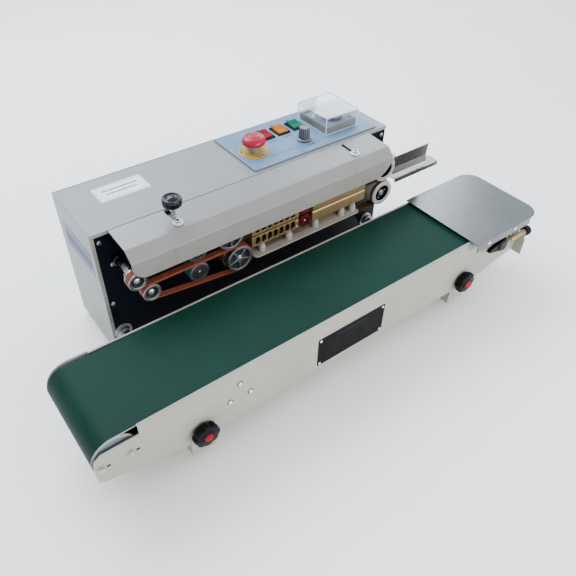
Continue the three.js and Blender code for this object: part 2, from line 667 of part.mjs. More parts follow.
// Bar under the hood with two arms to the panel and the two hood screws with their washers.
function hoodHanger() {
  const barTop = HANGER_Z + 3;
  const bar = box(HANGER_LEFT[0], HANGER_RIGHT[1], 24, 54, HANGER_Z, barTop);
  const arms = [HANGER_LEFT, HANGER_RIGHT].map(([x0, x1]) =>
    box(x0, x1, 53, PANEL_FRONT - GAP, HANGER_Z, barTop));
  const screws = [HOOD_SLOT_LEFT_X, HOOD_SLOT_RIGHT_X].flatMap((x) => [
    rod("z", x, HOOD_SCREW_Y, 2, HANGER_Z, 246, 10),
    rod("z", x, HOOD_SCREW_Y, 6.3, 243.8, 245, 16),
    rod("z", x, HOOD_SCREW_Y, 3.8, 244.8, 247.5, 12),
  ]);
  const window = box(-150, 120, 30, 48, HANGER_Z - 1, barTop + 1);
  const stemHole = rod("z", STEM_X, STEM_Y, STEM_R + 0.4, HANGER_Z - 1, barTop + 1, 12);
  return cutAll(joinAll([bar, ...arms, ...screws]), [window, stemHole]);
}

const LOBES = 8;

// Outline of a lobed hand knob.
function lobedOutline(cx, cz, r, depth, perLobe = 4) {
  const n = LOBES * perLobe;
  return Array.from({ length: n }, (_, i) => {
    const a = i * 2 * Math.PI / n;
    const radius = r - depth * (1 - Math.cos(LOBES * a)) / 2;
    return [cx + radius * Math.cos(a), cz + radius * Math.sin(a)];
  });
}

const PRESSURE_KNOB_Z = 268;

function pressureKnob() {
  const z = PRESSURE_KNOB_Z;
  const stem = rod("z", STEM_X, STEM_Y, STEM_R, 222, z + 1, 12);
  const boss = turnedUp(STEM_X, STEM_Y, [[0, z - 4], [7, z - 4], [9, z], [9, z + 2], [0, z + 2]], 16);
  const grip = prismZ(lobedOutline(STEM_X, STEM_Y, 14.25, 1.6), z, z + 10);
  const crownProfile = [[0, z + 9], [11, z + 9], [10.5, z + 12], [7, z + 14.3], [0, z + 15]];
  const crown = turnedUp(STEM_X, STEM_Y, crownProfile);
  return joinAll([stem, boss, grip, crown]);
}

addNode("hood", hood(), finish(0xaeb0ab, 0.4, 0.2));
addNode("hood_hanger", hoodHanger(), finish(STEEL, 0.35, 1));
addNode("pressure_knob", pressureKnob(), finish(0x18181c, 0.25));

// ---------- control panel ----------
const ROCKER_HOLE = [10.8, 13.4];
const BEZEL = [12.5, 15];
const CTRL_HOLE = { x0: 150, x1: 211, y0: 106, y1: 174 };

function controlPanel() {
  const plate = box(CP_LEFT, CP_RIGHT, CP_FRONT, CP_BACK, CP_BOTTOM, CP_TOP);
  const holes = [
    rod("z", ESTOP_X, ESTOP_Y, 11.3, CP_BOTTOM - 1, CP_TOP + 1),
    rod("z", SPEED_X, SPEED_Y, 4, CP_BOTTOM - 1, CP_TOP + 1, 12),
    box(CTRL_HOLE.x0, CTRL_HOLE.x1, CTRL_HOLE.y0, CTRL_HOLE.y1, CP_BOTTOM - 1, CP_TOP + 1),
    ...Object.values(ROCKER_X).map((x) => rockerBox(x, 1.2, CP_BOTTOM - 1, CP_TOP + 1)),
  ];
  return cutAll(plate, holes);
}

// Box round a rocker opening, grown by a margin.
function rockerBox(x, margin, z0, z1) {
  const [hx, hy] = ROCKER_HOLE;
  return box(x - hx - margin, x + hx + margin, ROCKER_Y - hy - margin, ROCKER_Y + hy + margin, z0, z1);
}

// Three rocker housings with their bezels, tied by a strip under the panel.
function switchFrame() {
  const xs = Object.values(ROCKER_X);
  const bezels = xs.map((x) => box(x - BEZEL[0], x + BEZEL[0], ROCKER_Y - BEZEL[1], ROCKER_Y + BEZEL[1],
    CP_TOP + GAP, CP_TOP + 2.2));
  const sleeves = xs.map((x) => rockerBox(x, 0.9, 236, CP_TOP + 1));
  const strip = box(xs[0], xs[2], ROCKER_Y - 12, ROCKER_Y + 12, 236, 240);
  return cutAll(joinAll([...bezels, ...sleeves, strip]), xs.map((x) => rockerBox(x, 0, 230, CP_TOP + 5)));
}

const CTRL_TOP = 261;
const CTRL_BOTTOM = 185;

// Temperature controller: a head on the panel and a barrel hanging in the panel's opening.
function controllerBody() {
  const { x0, x1, y0, y1 } = CTRL_HOLE;
  const head = box(x0 - 2.5, x1 + 2.5, y0 - 2.5, y1 + 2.5, CP_TOP + GAP, CTRL_TOP);
  const barrel = box(x0 + 0.5, x1 - 0.5, y0 + 0.5, y1 - 0.5, CTRL_BOTTOM, CP_TOP + 1);
  const dialHole = rod("z", DIAL_X, DIAL_Y, 3.2, 250, CTRL_TOP + 1, 12);
  return cutAll(joinAll([head, barrel]), [dialHole]);
}

function controllerDial() {
  return turnedUp(DIAL_X, DIAL_Y, [
    [0, 251], [2.8, 251], [2.8, CTRL_TOP + 0.5], [17, CTRL_TOP + 0.5], [17, CTRL_TOP + 2], [9, CTRL_TOP + 2],
    [8, CTRL_TOP + 12], [0, CTRL_TOP + 12],
  ]);
}

// Clear cover: five walls, open below.
function clearCover() {
  const { x0, x1, y0, y1, top, wall } = COVER;
  const shell = box(x0, x1, y0, y1, CP_TOP + GAP, top);
  return shell.subtract(box(x0 + wall, x1 - wall, y0 + wall, y1 - wall, CP_TOP - 2, top - wall));
}

function rocker(x) {
  const half = ROCKER_HOLE.map((h) => h - 1.3);
  const g = prismX([
    [-half[1], 2.5], [-half[1] + 2, -2], [-4, -9], [4, -9], [half[1] - 2, -2], [half[1], 2.5],
    [half[1] - 0.5, 4.2], [0, 3], [-half[1] + 0.5, 4.2],
  ].reverse(), -half[0], half[0]);
  return g.rotate([THREE.MathUtils.radToDeg(ROCKER_TILT), 0, 0]).translate([x, ROCKER_Y, CP_TOP + 1]);
}

addNode("control_panel", controlPanel(), finish(0xa9bccb, 0.4, 0.2));
addNode("switch_frame", switchFrame(), finish(BLACK, 0.4));
addNode("controller_body", controllerBody(), finish(0x77706a, 0.6));
addNode("controller_dial", controllerDial(), finish(0xe8e8e4, 0.4));
addNode("clear_cover", clearCover(), finish(0xcfe4f2, 0.05));

for (const [name, color] of [["red", 0xc81e2c], ["orange", 0xe07a12], ["green", 0x168a5a]]) {
  addNode(`rocker_${name}`, rocker(ROCKER_X[name]), finish(color, 0.3));
}

addNode("speed_knob", turnedUp(SPEED_X, SPEED_Y, [
  [0, 238], [3, 238], [3, CP_TOP + 0.6], [12, CP_TOP + 0.6], [12, CP_TOP + 3], [9.4, CP_TOP + 4.5],
  [8.8, CP_TOP + 23], [8, CP_TOP + 24], [0, CP_TOP + 24],
], 24), finish(0x6d7177, 0.5));

// Emergency stop: fixed collar, sliding stem, and a mushroom head that twists on the stem.
const STOP_COLLAR_TOP = 260.3;
const STOP_BORE_R = 7;
const STOP_BOTTOM = 222;
addNode("estop_collar", turnedUp(ESTOP_X, ESTOP_Y, [
  [STOP_BORE_R, STOP_BOTTOM], [11, STOP_BOTTOM], [11, CP_TOP + GAP], [13, CP_TOP + GAP], [12.3, CP_TOP + 3],
  [12.3, STOP_COLLAR_TOP - 1], [11.5, STOP_COLLAR_TOP], [STOP_BORE_R, STOP_COLLAR_TOP],
  [STOP_BORE_R, STOP_BOTTOM],
], 24), finish(0xc8c9c6, 0.25, 1));
addNode("estop_stem", rod("z", ESTOP_X, ESTOP_Y, 6.4, 226, 266, 16), finish(0x9a9c9e, 0.4, 1));
addNode("estop_head", turnedUp(ESTOP_X, ESTOP_Y, [
  [0, 266.4], [13, 266.4], [13.4, 262.6], [18.5, 262.6], [ESTOP_R, 265], [ESTOP_R, 268], [19, 271.5],
  [15, 275], [8, 276.8], [0, 277],
], 28), finish(0xd9263c, 0.35));

// ---------- conveyor ----------
const SLOT_HALF = STUD_R + 0.8;
const LIFT = 30;                    // height adjustment of the conveyor

const NOTCH_X = -363;
const FRONT_PLATE_Y = RAIL_FRONT + SHEET + GAP;   // front face of the support brackets

const BRACKET_T = 2;
const BRACKET_BOTTOM = 15;
const BRACKET_FRONT_TOP = 118;
const BRACKET_SIDE_TOP = 72;
const CLAMP_BLOCK = { y0: -148, y1: -112, z0: 34, z1: 68 };
const PEDESTAL_Y = -127;

// Bracket pair behind the front rail, riding on the rods, with feet and a tie bar.
function conveyorSupport() {
  const { y0, y1, z0, z1 } = CLAMP_BLOCK;
  const half = BRACKET_HALF;
  const plateBack = FRONT_PLATE_Y + BRACKET_T;
  const side = (x) => box(x, x + BRACKET_T, FRONT_PLATE_Y, y0 + 2, BRACKET_BOTTOM, BRACKET_SIDE_TOP);
  const parts = RODS.flatMap((x) => [
    box(x - half, x + half, FRONT_PLATE_Y, plateBack, BRACKET_BOTTOM, BRACKET_FRONT_TOP),
    side(x - half),
    side(x + half - BRACKET_T),
    box(x - half, x + half, y0, y1, z0, z1),
    rod("z", x, PEDESTAL_Y, FOOT_R, 0, z0 + 2, 16),
  ]);
  const tie = box(ROD_LEFT_X, ROD_RIGHT_X, PEDESTAL_Y - 7, PEDESTAL_Y + 7, 12, 30);
  const bores = RODS.map((x) => rod("y", x, ROD_Z, ROD_R + GAP, y0 - 14, y1 + 12));
  const slots = RODS.map((x) =>
    box(x - SLOT_HALF, x + SLOT_HALF, -172, y0 - 1, KNOB_Z - SLOT_HALF, KNOB_Z + LIFT + SLOT_HALF));
  return cutAll(joinAll([...parts, tie]), [...bores, ...slots]);
}

// Lower edge of both rails, left to right: up at the left end, level, up at the right end.
const RAIL_LOW_EDGE = [[-419, 70], [-307, RAIL_BOTTOM], [270, RAIL_BOTTOM], [RAIL_RIGHT, 65]];

// The path moved upwards by r, square to each of its stretches.
function insetPath(points, r) {
  const last = points.length - 1;
  const slope = (i) => Math.atan2(points[i + 1][1] - points[i][1], points[i + 1][0] - points[i][0]);
  return points.map(([x, z], i) => {
    const before = slope(Math.max(i - 1, 0));
    const after = slope(Math.min(i, last - 1));
    const middle = (before + after) / 2;
    const reach = r / Math.cos((after - before) / 2);
    return [x - reach * Math.sin(middle), z + reach * Math.cos(middle)];
  });
}

// Section of [y, height above the path] points swept along an open path of [x, z] points.
function sweepSection(section, path) {
  const contour = section.map(([y, h]) => new THREE.Vector2(y, h));
  if (THREE.ShapeUtils.isClockWise(contour)) contour.reverse();
  const n = contour.length;
  const last = path.length - 1;
  const points = path.flatMap((_, i) => contour.map(({ x: y, y: h }) => {
    const [x, z] = insetPath(path, h)[i];
    return new THREE.Vector3(x, y, z);
  }));
  const at = (i, j) => i * n + (j % n);
  const index = [];
  for (let i = 0; i < last; i++) {
    for (let j = 0; j < n; j++) {
      index.push(at(i, j), at(i + 1, j), at(i + 1, j + 1), at(i, j), at(i + 1, j + 1), at(i, j + 1));
    }
  }
  for (const [a, b, c] of THREE.ShapeUtils.triangulateShape(contour, [])) {
    index.push(at(0, a), at(0, b), at(0, c), at(last, a), at(last, c), at(last, b));
  }
  const g = new THREE.BufferGeometry().setFromPoints(points);
  g.setIndex(index);
  return asOutward(g);
}

// Side outline of a rail in X and Z; the front one is stepped at its left end, the rear one is round.
function railOutline(isFront) {
  const roundR = RAIL_TOP - ROLLER_Z;
  const leftEnd = isFront
    ? [[NOTCH_X, 127], [-413, 127], [-422, 120], [RAIL_LEFT, 112]]
    : [[NOTCH_X, RAIL_TOP], ...arc(RAIL_LEFT + roundR, ROLLER_Z, roundR, 90, 180, 8)];
  return [
    [RAIL_RIGHT, RAIL_TOP - RAIL_BEND], [NOTCH_X, RAIL_TOP - RAIL_BEND], ...leftEnd,
    [RAIL_LEFT, 84], [-423.5, 78], [-419, 75.5],
    ...insetPath(RAIL_LOW_EDGE, RAIL_LOW_BEND).slice(1, -1), [RAIL_RIGHT, 70.5],
  ];
}

function rail(isFront) {
  const outer = isFront ? RAIL_FRONT : RAIL_BACK;
  const inward = isFront ? 1 : -1;
  const y = (d) => outer + inward * d;
  const band = (d0, d1) => [Math.min(y(d0), y(d1)), Math.max(y(d0), y(d1))];
  const web = prismY(railOutline(isFront), ...band(0, SHEET));
  const lipSection = [
    [0, -1], ...arc(RAIL_BEND, 0, RAIL_BEND, 180, 90, 5),
    ...arc(RAIL_BEND, 0, RAIL_BEND - SHEET, 90, 180, 5), [SHEET, -1],
  ];
  const topLip = prismX(lipSection.map(([d, h]) => [y(d), RAIL_TOP - RAIL_BEND + h]), NOTCH_X, RAIL_RIGHT);
  const r = RAIL_LOW_BEND;
  const inside = SHEET - INSET;
  const bendSection = [
    [INSET, r + 1], ...arc(r, r, r - INSET, 180, 270, 5),
    ...arc(r, r, r - inside, 270, 180, 5), [inside, r + 1],
  ];
  const lowBend = sweepSection(bendSection.map(([d, h]) => [y(d), h]), RAIL_LOW_EDGE);
  const bottomLip = box(-300, 265, ...band(r - 0.2, 12), RAIL_BOTTOM, RAIL_BOTTOM + SHEET);
  return joinAll([web, topLip, lowBend, bottomLip]);
}

const LUG_X = 381;
const LUG_T = 2;
const LUG_BOTTOM = 64;
const LUG_TOP = 98;
const LUG_EYE_R = 5.8;              // ring on top of the lug that carries the tension screw
const SCREW_Y = -178;
const SCREW_Z = 109;
const AXLE_R = 4;
const TAIL_TRAVEL = 5;
const WING_X = 315;
const WING_Z = 114;

function frontRail() {
  const shape = rail(true);
  const notch = BRACKET_HALF + 1;
  const notchTop = RAIL_BOTTOM + RAIL_LOW_BEND + 0.6;
  const lugEnd = LUG_X + LUG_T;
  const lug = joinAll([
    box(LUG_X, lugEnd, -186, RAIL_FRONT + SHEET, LUG_BOTTOM, LUG_TOP),
    box(LUG_X, lugEnd, SCREW_Y - LUG_EYE_R, SCREW_Y + LUG_EYE_R, LUG_TOP - 1, SCREW_Z),
    rod("x", SCREW_Y, SCREW_Z, LUG_EYE_R, LUG_X, lugEnd, 24),
  ]);
  const cuts = [
    ...RODS.map((x) => box(x - notch, x + notch, RAIL_FRONT - 1, -150, 40, notchTop)),
    ...RODS.map((x) => rod("y", x, KNOB_Z, STUD_R + 0.5, -175, -165, 12)),
    rod("y", WING_X, WING_Z, 3.6, -175, -165, 12),
    rod("x", SCREW_Y, SCREW_Z, 3.4, LUG_X - 5, LUG_X + 5, 12),
    box(TAIL_ROLLER_X - AXLE_R - TAIL_TRAVEL - 1, TAIL_ROLLER_X + AXLE_R + 1, -175, -165,
      ROLLER_Z - AXLE_R - 0.5, ROLLER_Z + AXLE_R + 0.5),
    rod("y", HEAD_ROLLER_X, ROLLER_Z, AXLE_R + 0.4, -175, -165, 12),
  ];
  return cutAll(joinAll([shape, lug]), cuts);
}

function rearRail() {
  const shape = rail(false);
  const cuts = [
    ...RODS.map((x) => box(x - ROD_R - 3, x + ROD_R + 3, -36, -15, 30, ROD_Z + ROD_R + 12)),
    box(TAIL_ROLLER_X - AXLE_R - TAIL_TRAVEL - 1, TAIL_ROLLER_X + AXLE_R + 1, -25, -15,
      ROLLER_Z - AXLE_R - 0.5, ROLLER_Z + AXLE_R + 0.5),
    rod("y", HEAD_ROLLER_X, ROLLER_Z, AXLE_R + 0.4, -25, -15, 12),
  ];
  return cutAll(shape, cuts);
}

// Sliding bed under the belt, with two cross channels down to the rails' lower edges.
function bedPlate() {
  const top = BELT_PLANE - CONV_BELT_T - 0.4;
  const y0 = RAIL_FRONT + SHEET + GAP;
  const y1 = RAIL_BACK - SHEET - GAP;
  const bed = box(-352, 320, CONV_BELT_FRONT + 1.5, CONV_BELT_BACK - 1.5, top - SHEET, top);
  const cross = [-345, 262].map((x) => box(x, x + 20, y0, y1, 104, top - 1));
  return joinAll([bed, ...cross]);
}

function roller(x) {
  const r = ROLLER_OUT_R - CONV_BELT_T - GAP;
  const y0 = CONV_BELT_FRONT + 2;
  const y1 = CONV_BELT_BACK - 2;
  const axleFront = RAIL_FRONT + 0.2;
  const axleBack = RAIL_BACK - 0.2;
  return turned(x, ROLLER_Z, [
    [0, axleFront], [AXLE_R, axleFront], [AXLE_R, y0 + 5], [r - 3, y0 + 5], [r - 2.5, y0], [r, y0],
    [r, y1], [AXLE_R, y1], [AXLE_R, axleBack], [0, axleBack],
  ], 40);
}

// Feed table: flat sheet with two rounded corners, a lip along its front and two spacers on the rails.
function endTable() {
  const corner = 28;
  const under = TABLE_TOP - SHEET;
  const sheet = prismZ([
    [TABLE_LEFT, TABLE_FRONT], ...arc(TABLE_RIGHT - corner, TABLE_FRONT + corner, corner, 270, 360, 8),
    ...arc(TABLE_RIGHT - corner, TABLE_BACK - corner, corner, 0, 90, 8), [TABLE_LEFT, TABLE_BACK],
  ], under, TABLE_TOP);
  const lipBottom = TABLE_TOP - TABLE_LIP;
  const lip = box(TABLE_LEFT, TABLE_RIGHT - corner, TABLE_FRONT, TABLE_FRONT + SHEET, lipBottom, TABLE_TOP);
  const spacers = [[RAIL_FRONT, RAIL_FRONT + 4], [RAIL_BACK - 4, RAIL_BACK]].map(([y0, y1]) =>
    box(TABLE_LEFT + 6, RAIL_RIGHT - 6, y0, y1, RAIL_TOP + GAP, under + 0.5));
  return joinAll([sheet, lip, ...spacers]);
}

const KNOB_R = 19.5;
const KNOB_FACE = -187;
const KNOB_GRIP_BACK = -171.5;
const STUD_END = -152;

function clampKnob(x) {
  const seat = RAIL_FRONT - 0.4;
  const back = KNOB_GRIP_BACK;
  const grip = prismY(lobedOutline(x, KNOB_Z, KNOB_R, 2), KNOB_FACE + 1.5, back);
  const hub = turned(x, KNOB_Z, [
    [0, KNOB_FACE], [7, KNOB_FACE], [7, KNOB_FACE + 2], [9, KNOB_FACE + 2], [9, back], [9.5, seat],
    [STUD_R, seat], [STUD_R, STUD_END], [0, STUD_END],
  ], 16);
  return joinAll([grip, hub]);
}

function wingKnob() {
  const seat = RAIL_FRONT - 0.4;
  const hub = turned(WING_X, WING_Z, [
    [0, -186], [10, -186], [12, -184], [12, -176], [8, seat], [3.2, seat], [3.2, -165.5], [0, -165.5],
  ], 16);
  const wings = prismY([
    [-7, 9], [-30, 3], [-36, -1], [-30, -4], [-7, -10], [8, -14], [14, -10], [12, 8], [6, 13],
  ].map(([dx, dz]) => [WING_X + dx, WING_Z + dz]), -184, -177);
  return joinAll([hub, wings]);
}

function tensionScrew() {
  const shank = rod("x", SCREW_Y, SCREW_Z, 3, 338, 392, 12);
  const nut = rod("x", SCREW_Y, SCREW_Z, 5.5, 345, LUG_X - 0.4, 12);
  const cap = rod("x", SCREW_Y, SCREW_Z, 9, LUG_X + LUG_T + 0.4, 397, 16);
  return joinAll([shank, nut, cap]);
}

// Small gear motor fixed to the back of the front rail, between the two runs of the belt.
const CONV_MOTOR_X = -218;
const CONV_MOTOR_Z = 98;

function conveyorMotor() {
  const flange = rod("y", CONV_MOTOR_X, CONV_MOTOR_Z, 19.3, FRONT_PLATE_Y, FRONT_PLATE_Y + 22, 20);
  const can = rod("y", CONV_MOTOR_X, CONV_MOTOR_Z, 16, FRONT_PLATE_Y + 20, -92, 18);
  return joinAll([flange, can]);
}

const conveyorBelt = beltLoop(HEAD_ROLLER_X, ROLLER_Z, ROLLER_OUT_R, TAIL_ROLLER_X, ROLLER_Z, ROLLER_OUT_R,
  CONV_BELT_T, CONV_BELT_FRONT, CONV_BELT_BACK, 24);

addNode("conveyor_support", conveyorSupport(), plateFinish);
addNode("front_rail", frontRail(), finish(PAINT, 0.45, 0.1));
addNode("rear_rail", rearRail(), finish(PAINT, 0.45, 0.1));
addNode("bed_plate", bedPlate(), finish(0x9da0a0, 0.4, 0.8));
addNode("conveyor_belt", conveyorBelt, finish(0x1f4a38, 0.55));
addNode("head_roller", roller(HEAD_ROLLER_X), finish(0xb7b9ba, 0.35, 1));
addNode("tail_roller", roller(TAIL_ROLLER_X), finish(0xb7b9ba, 0.35, 1));
addNode("conveyor_motor", conveyorMotor(), finish(0x55595c, 0.5, 0.6));
addNode("end_table", endTable(), finish(0xb8b6b0, 0.25, 1));
addNode("clamp_knob_left", clampKnob(ROD_LEFT_X), finish(0x17191c, 0.4));
addNode("clamp_knob_right", clampKnob(ROD_RIGHT_X), finish(0x17191c, 0.4));
addNode("wing_knob", wingKnob(), finish(0x17191c, 0.4));
addNode("tension_screw", tensionScrew(), finish(0x9a7d3c, 0.3, 1));

// Put the middle of the machine's footprint at the origin.
const bounds = new THREE.Box3().setFromObject(root);
const centre = bounds.getCenter(new THREE.Vector3());
for (const mesh of root.children) mesh.geometry.translate(-centre.x, -centre.y, -bounds.min.z);

export default root;
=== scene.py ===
"""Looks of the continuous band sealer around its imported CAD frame.

Helpers take millimetres of the frame, and Blender is in metres.
"""
import json
import math

import bmesh
import bpy
from mathutils import Matrix, Vector


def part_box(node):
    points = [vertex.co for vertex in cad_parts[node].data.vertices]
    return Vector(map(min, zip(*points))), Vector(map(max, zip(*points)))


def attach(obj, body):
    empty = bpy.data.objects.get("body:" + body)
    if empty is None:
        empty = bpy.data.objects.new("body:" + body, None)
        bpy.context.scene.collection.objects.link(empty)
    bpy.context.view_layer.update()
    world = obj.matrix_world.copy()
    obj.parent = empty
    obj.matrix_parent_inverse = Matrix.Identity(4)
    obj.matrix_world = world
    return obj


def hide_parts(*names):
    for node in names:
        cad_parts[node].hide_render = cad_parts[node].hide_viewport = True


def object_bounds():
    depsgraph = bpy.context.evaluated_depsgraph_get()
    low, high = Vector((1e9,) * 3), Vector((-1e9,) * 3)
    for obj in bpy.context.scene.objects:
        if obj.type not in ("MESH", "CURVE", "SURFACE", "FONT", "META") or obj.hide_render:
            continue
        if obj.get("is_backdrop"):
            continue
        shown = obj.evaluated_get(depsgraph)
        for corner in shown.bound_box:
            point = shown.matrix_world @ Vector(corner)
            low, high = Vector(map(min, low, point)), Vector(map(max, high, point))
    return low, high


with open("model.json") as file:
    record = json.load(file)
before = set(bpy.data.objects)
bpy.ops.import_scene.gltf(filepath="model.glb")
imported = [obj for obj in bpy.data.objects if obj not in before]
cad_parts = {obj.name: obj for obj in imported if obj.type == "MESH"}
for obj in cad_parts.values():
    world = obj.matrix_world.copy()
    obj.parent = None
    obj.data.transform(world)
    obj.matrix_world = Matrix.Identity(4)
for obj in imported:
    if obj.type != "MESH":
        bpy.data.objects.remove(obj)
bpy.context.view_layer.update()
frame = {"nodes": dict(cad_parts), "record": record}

SLOT_OF = {s["node"]: s["material_slot"] for s in frame["record"]["subparts"]}
BODY_OF = {n: b for b, ns in frame["record"]["behaviour"]["bodies"].items() for n in ns}


# ---------- node materials ----------
class Nodes:
    """A material's node tree, with short calls for what repeats."""

    def __init__(self, name):
        self.mat = bpy.data.materials.new(name)
        self.mat.use_nodes = True
        self.tree = self.mat.node_tree
        self.bsdf = self.tree.nodes["Principled BSDF"]
        self.coord = self.add("ShaderNodeTexCoord").outputs["Object"]

    def add(self, kind, **values):
        node = self.tree.nodes.new(kind)
        for key, value in values.items():
            setattr(node, key, value)
        return node

    def link(self, out, socket):
        self.tree.links.new(out, socket)

    def noise(self, scale, detail=3.0, rough=0.55, stretch=(1, 1, 1)):
        mapping = self.add("ShaderNodeMapping")
        mapping.inputs["Scale"].default_value = stretch
        self.link(self.coord, mapping.inputs["Vector"])
        tex = self.add("ShaderNodeTexNoise")
        tex.inputs["Scale"].default_value = scale
        tex.inputs["Detail"].default_value = detail
        tex.inputs["Roughness"].default_value = rough
        self.link(mapping.outputs["Vector"], tex.inputs["Vector"])
        return tex.outputs["Fac"]

    def bands(self, per_metre, axis, distortion=0.0):
        tex = self.add("ShaderNodeTexWave", wave_type="BANDS", bands_direction="XYZ"[axis])
        tex.inputs["Scale"].default_value = per_metre * 0.314
        tex.inputs["Distortion"].default_value = distortion
        self.link(self.coord, tex.inputs["Vector"])
        return tex.outputs["Fac"]

    def ramp(self, fac, stops):
        node = self.add("ShaderNodeValToRGB")
        ends = node.color_ramp.elements
        while len(ends) < len(stops):
            ends.new(0.5)
        for end, (at, color) in zip(ends, stops):
            end.position = at
            end.color = (*color, 1)
        self.link(fac, node.inputs["Fac"])
        return node.outputs["Color"]

    def spread(self, fac, low, high, a=0.3, b=0.7):
        node = self.add("ShaderNodeMapRange")
        for key, value in (("From Min", a), ("From Max", b), ("To Min", low), ("To Max", high)):
            node.inputs[key].default_value = value
        self.link(fac, node.inputs["Value"])
        return node.outputs["Result"]

    def mix(self, fac, a, b):
        node = self.add("ShaderNodeMix", data_type="RGBA")
        self.link(fac, node.inputs["Factor"])
        for value, socket in ((a, node.inputs[6]), (b, node.inputs[7])):
            if isinstance(value, tuple):
                socket.default_value = (*value, 1)
            else:
                self.link(value, socket)
        return node.outputs[2]

    def bump(self, height, strength, depth_mm):
        node = self.add("ShaderNodeBump")
        node.inputs["Strength"].default_value = strength
        node.inputs["Distance"].default_value = depth_mm / 1000
        self.link(height, node.inputs["Height"])
        self.link(node.outputs["Normal"], self.bsdf.inputs["Normal"])

    def set(self, **values):
        for key, value in values.items():
            self.bsdf.inputs[key.replace("_", " ")].default_value = value
        return self


def shade(color, k):
    """The colour made k times as bright, up to white."""
    return tuple(min(1, c * k) for c in color)


# the studio is bright enough for a white floor, so the object's colours and gloss are turned down to suit
DIM = 0.52
GLOSS = 0.22


def surface(name, color, rough, metal=0.0, patch=25, vary=0.06, grain=900, depth=0.02, dim=DIM, gloss=GLOSS,
            alpha=1.0):
    """Large soft patches in colour and roughness, and a fine grain in bump."""
    n = Nodes(name)
    color = shade(color, dim)
    big = n.noise(patch, 4, 0.6)
    small = n.noise(grain, 2, 0.5)
    tint = n.ramp(big, [(0.3, shade(color, 1 - vary)), (0.7, shade(color, 1 + vary))])
    n.link(n.mix(n.spread(small, 0, 0.3), tint, shade(color, 0.88)), n.bsdf.inputs["Base Color"])
    n.link(n.spread(big, rough * 0.88, rough * 1.14), n.bsdf.inputs["Roughness"])
    n.bump(small, 0.35, depth)
    n.set(Metallic=metal, Specular_IOR_Level=gloss, Alpha=alpha)
    return n.mat


def brushed(name, color, rough, along, patch=9, vary=0.08, streak=60):
    """Metal with long fine streaks along one axis."""
    stretch = tuple(0.03 if i == along else 1.0 for i in range(3))
    n = Nodes(name)
    color = shade(color, DIM)
    streaks = n.noise(streak * 40, 3, 0.65, stretch)
    cloud = n.noise(patch, 3, 0.5)
    tint = n.ramp(cloud, [(0.3, shade(color, 1 - vary)), (0.7, shade(color, 1 + vary))])
    n.link(n.mix(n.spread(streaks, 0, 0.45), tint, shade(color, 0.8)), n.bsdf.inputs["Base Color"])
    n.link(n.spread(streaks, rough * 0.8, rough * 1.25), n.bsdf.inputs["Roughness"])
    n.bump(streaks, 0.25, 0.02)
    n.set(Metallic=1.0)
    return n.mat


def ribbed(name, color, dark, rough, per_metre, axis):
    """Rubber with fine ribs square to one axis, and worn patches."""
    n = Nodes(name)
    color = shade(color, DIM)
    ribs = n.bands(per_metre, axis, 0.3)
    wear = n.noise(90, 4, 0.6)
    worn = n.ramp(wear, [(0.35, shade(color, 0.85)), (0.7, shade(color, 1.25))])
    n.link(n.mix(n.spread(ribs, 0.0, 0.75, 0.45, 0.9), worn, dark), n.bsdf.inputs["Base Color"])
    n.link(n.spread(wear, rough * 0.85, rough * 1.15), n.bsdf.inputs["Roughness"])
    n.bump(ribs, 0.5, 0.15)
    n.set(Specular_IOR_Level=GLOSS)
    return n.mat


def clear_plastic(name, color):
    """Clear moulding with a faint tint; some light goes straight through, so that the inside stays lit."""
    n = Nodes(name)
    haze = n.noise(30, 3, 0.6)
    n.link(n.spread(haze, 0.02, 0.06), n.bsdf.inputs["Roughness"])
    n.link(n.ramp(haze, [(0.3, color), (0.8, shade(color, 1.05))]), n.bsdf.inputs["Base Color"])
    n.set(Transmission_Weight=1.0, Alpha=0.3, IOR=1.45)
    return n.mat


